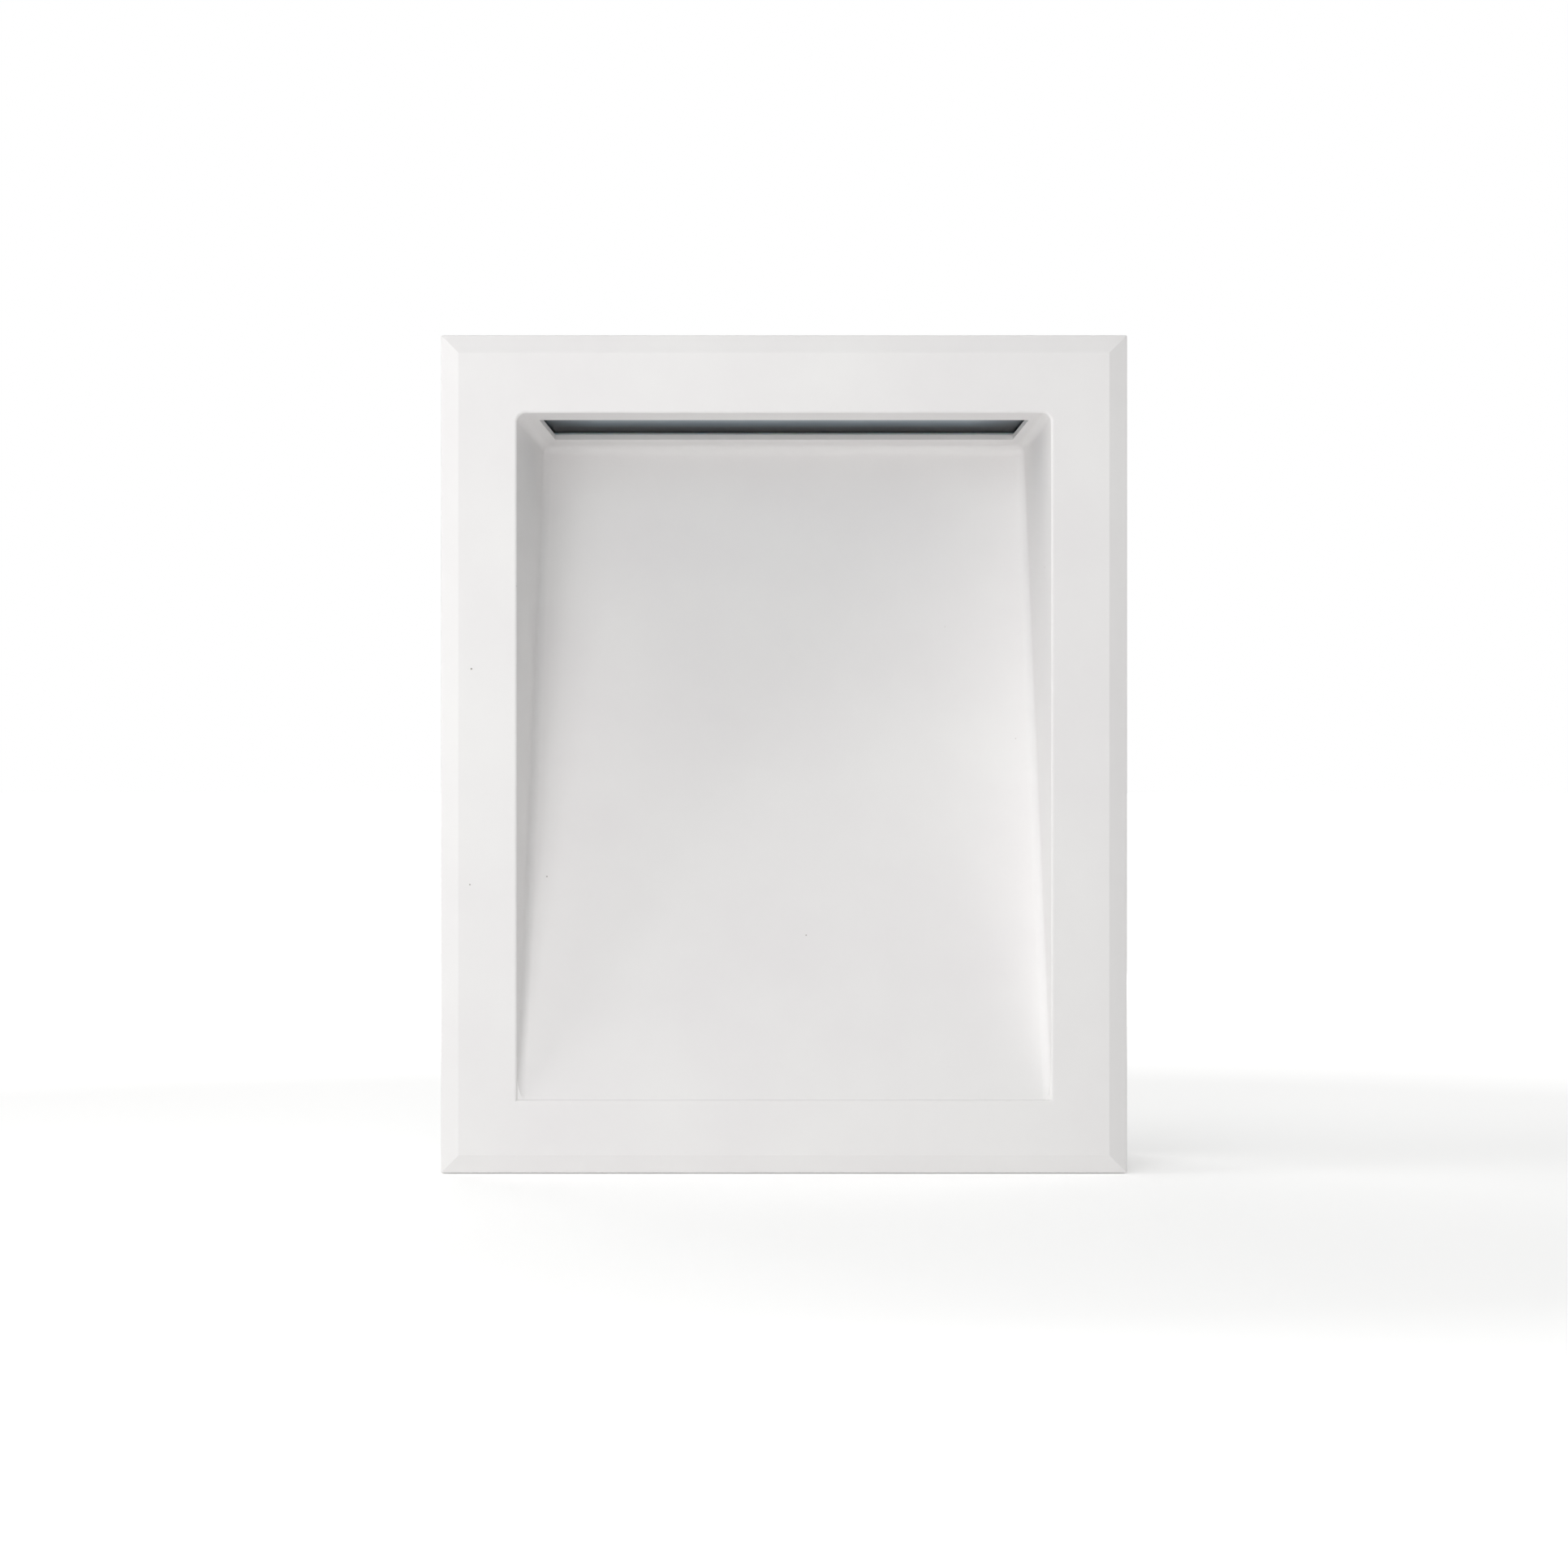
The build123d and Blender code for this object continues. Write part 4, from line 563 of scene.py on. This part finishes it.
FINISHES = [
    (cast_composite(), ["front_shell"]),
    (smoked_glass(), ["window_glass"]),
    (spark_eroded_abs(), ["rear_cover", "battery_door"]),
    (glass_filled_nylon(), ["battery_holder", "switch_housing"]),
    (polished_acetal(), ["switch_rocker"]),
    (matt_polycarbonate(), ["glare_baffle", "lamp_end_caps"]),
    (epoxy_and_ceramic(), ["driver_chips"]),
    (black_anodised_aluminium(), ["lamp_tray"]),
    (zinc_plated_steel(), ["board_screws", "tray_screws", "plate_screws", "keyhole_plates", "door_keepers"]),
    (black_oxide_steel(), ["cover_screws", "holder_screws"]),
    (nickel_plate(), ["cell_springs", "cell_contacts", "door_magnets", "hinge_pin"]),
    (turned_brass(), ["cover_inserts", "tray_inserts", "switch_terminals"]),
    (shrunk_cell_jacket(), ["battery_cells"]),
    (sintered_ferrite(), ["driver_inductor"]),
    (capacitor_can(), ["driver_capacitors"]),
    (green_circuit_board(), ["driver_board"]),
    (white_lamp_board(), ["led_board"]),
    (lamp_chip(), ["led_chips"]),
    (thermal_tape(), ["thermal_tape"]),
    (clear_silicone(), ["window_gasket"]),
    (closed_cell_foam(), ["glass_pad"]),
    (nitrile_rubber(), ["base_pads"]),
    (natural_nylon(), ["cable_clips", "wire_connectors", "led_connector"]),
    (extruded_pvc("red_pvc", "#8E1512", "#9C1C17"), ["battery_lead_red"]),
    (extruded_pvc("black_pvc", "#141415", "#1C1C1D"), ["battery_lead_black"]),
    (extruded_pvc("grey_pvc", "#84868A", "#909296"), ["switch_lead", "lamp_leads"]),
]
for finish, node_names in FINISHES:
    for node_name in node_names:
        for material_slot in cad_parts[node_name].material_slots:
            material_slot.material = finish


# ---------------------------------------------------------------- added pieces
def finished_piece(name, shape, finish, body):
    """Turn a bmesh into a piece with its finish, smooth where it is round, riding on a body."""
    bmesh.ops.recalc_face_normals(shape, faces=shape.faces)
    for face in shape.faces:
        face.smooth = True
    for edge in shape.edges:
        edge.smooth = len(edge.link_faces) == 2 and edge.calc_face_angle() < ROUND_BELOW
    mesh = bpy.data.meshes.new(name)
    shape.to_mesh(mesh)
    shape.free()
    mesh.materials.append(finish)
    piece = bpy.data.objects.new(name, mesh)
    bpy.context.scene.collection.objects.link(piece)
    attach(piece, body)


def on_rocker(height):
    """A place on the rocker's face at a height from its middle, turned so that +Z stands out of the face."""
    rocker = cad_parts["switch_rocker"]
    low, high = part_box("switch_rocker")
    middle = (low + high) / 2
    behind = Vector((middle.x, high.y + 10 * MM, middle.z + height))
    hit, spot, normal, _ = rocker.ray_cast(behind, Vector((0, -1, 0)))
    if not hit:
        raise RuntimeError("no rocker face under the mark")
    side = Vector((1, 0, 0))
    up = normal.cross(side)
    turn = Matrix((side, up, normal)).transposed().to_4x4()
    return Matrix.Translation(spot) @ turn


def printed_bar(place):
    """A printed bar with round ends, as thick as its ink."""
    shape = bmesh.new()
    bmesh.ops.create_grid(shape, x_segments=1, y_segments=1, size=0.5)
    bmesh.ops.scale(shape, vec=(BAR_WIDTH, BAR_LENGTH, 1), verts=shape.verts)
    bmesh.ops.bevel(shape, geom=shape.verts, offset=BAR_WIDTH * 0.45, segments=6, profile=0.5,
                    affect="VERTICES", material=-1)
    raise_ink(shape)
    bmesh.ops.transform(shape, matrix=place, verts=shape.verts)
    return shape


def raise_ink(shape):
    """Give a flat print its thickness, from just inside the face that it is printed on."""
    faces = bmesh.ops.extrude_face_region(shape, geom=shape.faces[:])["geom"]
    upper = [item for item in faces if isinstance(item, bmesh.types.BMVert)]
    bmesh.ops.translate(shape, vec=(0, 0, 2 * INK), verts=upper)
    bmesh.ops.translate(shape, vec=(0, 0, -INK), verts=shape.verts)


def printed_ring(place):
    """A printed ring, turned from a small oblong."""
    shape = bmesh.new()
    corners = [(RING_RADIUS - BAR_WIDTH, -INK), (RING_RADIUS, -INK), (RING_RADIUS, INK),
               (RING_RADIUS - BAR_WIDTH, INK)]
    ring = [shape.verts.new((r, 0, z)) for r, z in corners]
    profile = [shape.edges.new((ring[i], ring[(i + 1) % 4])) for i in range(4)]
    bmesh.ops.spin(shape, geom=ring + profile, axis=(0, 0, 1), cent=(0, 0, 0), angle=radians(360), steps=48,
                   use_merge=True)
    bmesh.ops.transform(shape, matrix=place, verts=shape.verts)
    return shape


def turned(profile):
    """A round shape about +Z from (radius, height) pairs that start and end on the axis."""
    shape = bmesh.new()
    verts = [shape.verts.new((radius, 0, height)) for radius, height in profile]
    edges = [shape.edges.new(pair) for pair in zip(verts, verts[1:])]
    bmesh.ops.spin(shape, geom=verts + edges, axis=(0, 0, 1), cent=(0, 0, 0), angle=radians(360), steps=32,
                   use_merge=True)
    bmesh.ops.remove_doubles(shape, verts=shape.verts, dist=0.001 * MM)
    return shape


def solder_joint(place, towards):
    """Solder round a wire's end: a mound on the tag that runs out concave along the wire."""
    shape = turned([(radius * MM, height * MM) for radius, height in SOLDER_MOUND])
    bmesh.ops.subdivide_edges(shape, edges=[edge for edge in shape.edges if edge.calc_length() > 0.6 * MM],
                              cuts=1, use_grid_fill=True)
    turn = Vector(towards).to_track_quat("Z", "Y").to_matrix().to_4x4()
    bmesh.ops.transform(shape, matrix=Matrix.Translation(place) @ turn, verts=shape.verts)
    return shape


def tab_sleeve(tab_box):
    """An insulating sleeve pushed over a switch tab: flat over the tab, drawn in round the wire.

    It thins by less than it narrows, because the wire is about as thick as the tab.
    """
    low, high = tab_box
    middle = (low + high) / 2
    shape = bmesh.new()
    bmesh.ops.create_grid(shape, x_segments=1, y_segments=1, size=0.5)
    bmesh.ops.scale(shape, vec=(high.x - low.x + 2 * SLEEVE_WALL, high.z - low.z + 2 * SLEEVE_WALL, 1),
                    verts=shape.verts)
    bmesh.ops.bevel(shape, geom=shape.verts, offset=SLEEVE_WALL * 0.9, segments=4, profile=0.5,
                    affect="VERTICES", material=-1)
    for length, squeeze in SLEEVE_STEPS:
        end = max(shape.faces, key=lambda face: face.calc_center_median().z)
        grown = bmesh.ops.extrude_face_region(shape, geom=[end, *end.edges])["geom"]
        upper = [item for item in grown if isinstance(item, bmesh.types.BMVert)]
        bmesh.ops.translate(shape, vec=(0, 0, length * MM), verts=upper)
        bmesh.ops.scale(shape, vec=(squeeze, 1 - (1 - squeeze) * 0.3, 1), verts=upper)
    to_front = Matrix.Rotation(radians(90), 4, "X")
    mouth = Matrix.Translation((middle.x, high.y - SLEEVE_LAP, middle.z))
    bmesh.ops.transform(shape, matrix=mouth @ to_front, verts=shape.verts)
    return shape


ink = pad_print_white()
finished_piece("rocker_on_bar", printed_bar(on_rocker(MARK_HEIGHT)), ink, "rocker")
finished_piece("rocker_off_ring", printed_ring(on_rocker(-MARK_HEIGHT)), ink, "rocker")

solder = bright_solder()
cells_low, cells_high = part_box("battery_cells")
contacts_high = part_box("cell_contacts")[1]
tag_depth = (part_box("battery_lead_red")[1].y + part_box("battery_lead_black")[1].y) / 2 - WIRE_RADIUS
cell_radius = (CELL_PITCH - CELL_SPARE) / 2 * MM
for joint_name, tag_height in (
    ("red_lead_solder", cells_low.z + cell_radius),
    ("black_lead_solder", cells_high.z - cell_radius),
):
    joint = solder_joint(Vector((contacts_high.x, tag_depth, tag_height)), (1, 0, 0))
    finished_piece(joint_name, joint, solder, "case")

tabs_low, tabs_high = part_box("switch_terminals")
sleeve_finish = natural_nylon()
for sleeve_name, tab_low in (
    ("lower_tab_sleeve", tabs_low.z),
    ("upper_tab_sleeve", tabs_high.z - TAB_THICKNESS),
):
    tab = (
        Vector((tabs_low.x, tabs_low.y, tab_low)),
        Vector((tabs_high.x, tabs_high.y, tab_low + TAB_THICKNESS)),
    )
    finished_piece(sleeve_name, tab_sleeve(tab), sleeve_finish, "case")


# ---------------------------------------------------------------- studio
def seen_only(tree, unseen, seen):
    """A strength that is one value as light and another to the eye; either is a number or a socket."""
    eye = add(tree, "LightPath").outputs["Is Camera Ray"]
    return add(tree, "MapRange", {"Value": eye, "To Min": unseen, "To Max": seen}).outputs["Result"]


def studio_floor():
    """A pale paper floor that runs out to the horizon. Its glow only shows to the eye, and lights nothing."""
    floor = bpy.data.objects.new("studio_floor", bpy.data.meshes.new("studio_floor"))
    sheet = bmesh.new()
    bmesh.ops.create_grid(sheet, x_segments=1, y_segments=1, size=FLOOR_HALF)
    sheet.to_mesh(floor.data)
    sheet.free()
    bpy.context.scene.collection.objects.link(floor)
    material, tree, shader, place = new_finish("studio_paper", Roughness=0.9, Specular_IOR_Level=0.1,
                                               Emission_Color=(1, 1, 1, 1))
    mottle(tree, shader, place, 300, "#F8F8F7", "#FAFAF9")
    away = add(tree, "VectorMath", {0: place}, operation="LENGTH").outputs["Value"]
    glow = add(tree, "MapRange", {"Value": away, "From Min": GLOW_STARTS, "From Max": GLOW_ENDS,
                                  "To Min": GLOW_NEAR, "To Max": GLOW_FAR}).outputs["Result"]
    tree.links.new(seen_only(tree, 0.0, glow), shader.inputs["Emission Strength"])
    floor.data.materials.append(material)


def soft_light(name, place, target, size, power):
    """A square softbox at a place, facing a target."""
    lamp = bpy.data.lights.new(name, "AREA")
    lamp.shape = "SQUARE"
    lamp.size = size
    lamp.energy = power
    holder = bpy.data.objects.new(name, lamp)
    holder.location = place
    holder.rotation_mode = "QUATERNION"
    holder.rotation_quaternion = (Vector(target) - Vector(place)).to_track_quat("-Z", "Y")
    bpy.context.scene.collection.objects.link(holder)


studio_floor()
middle = (cad_box[0] + cad_box[1]) / 2
soft_light("front", (-0.15, -1.3, 0.32), middle, 0.5, 3.8)
soft_light("front_left", (-0.33, -1.15, 0.42), middle, 0.5, 2.45)
soft_light("left", (-0.9, -0.25, 0.45), middle, 0.5, 2.3)
soft_light("above", (-0.2, -0.35, 1.3), middle, 0.7, 1.9)
soft_light("back_left", (-0.35, 1.3, 0.8), middle, 0.8, 5.5)
soft_light("back_right", (0.45, 1.4, 0.45), middle, 0.8, 2.0)
soft_light("right", (1.15, 0.3, 0.5), middle, 0.6, 2.2)

world = bpy.data.worlds.new("white_studio")
world.use_nodes = True
background = world.node_tree.nodes["Background"]
background.inputs["Color"].default_value = (1, 1, 1, 1)
world.node_tree.links.new(seen_only(world.node_tree, 0.2, 1.0), background.inputs["Strength"])
bpy.context.scene.world = world
bpy.context.scene.view_settings.view_transform = "Standard"

# ---------------------------------------------------------------- camera
camera = bpy.data.objects.new("camera", bpy.data.cameras.new("camera"))
camera.data.sensor_width = 36.0
camera.data.lens = 103.5
camera.data.clip_end = 200.0  # past the floor's far edge
camera.location = (0, cad_box[0].y - CAMERA_DISTANCE, CAMERA_HEIGHT)
camera.rotation_euler = (radians(90), 0, 0)
bpy.context.scene.collection.objects.link(camera)
bpy.context.scene.camera = camera
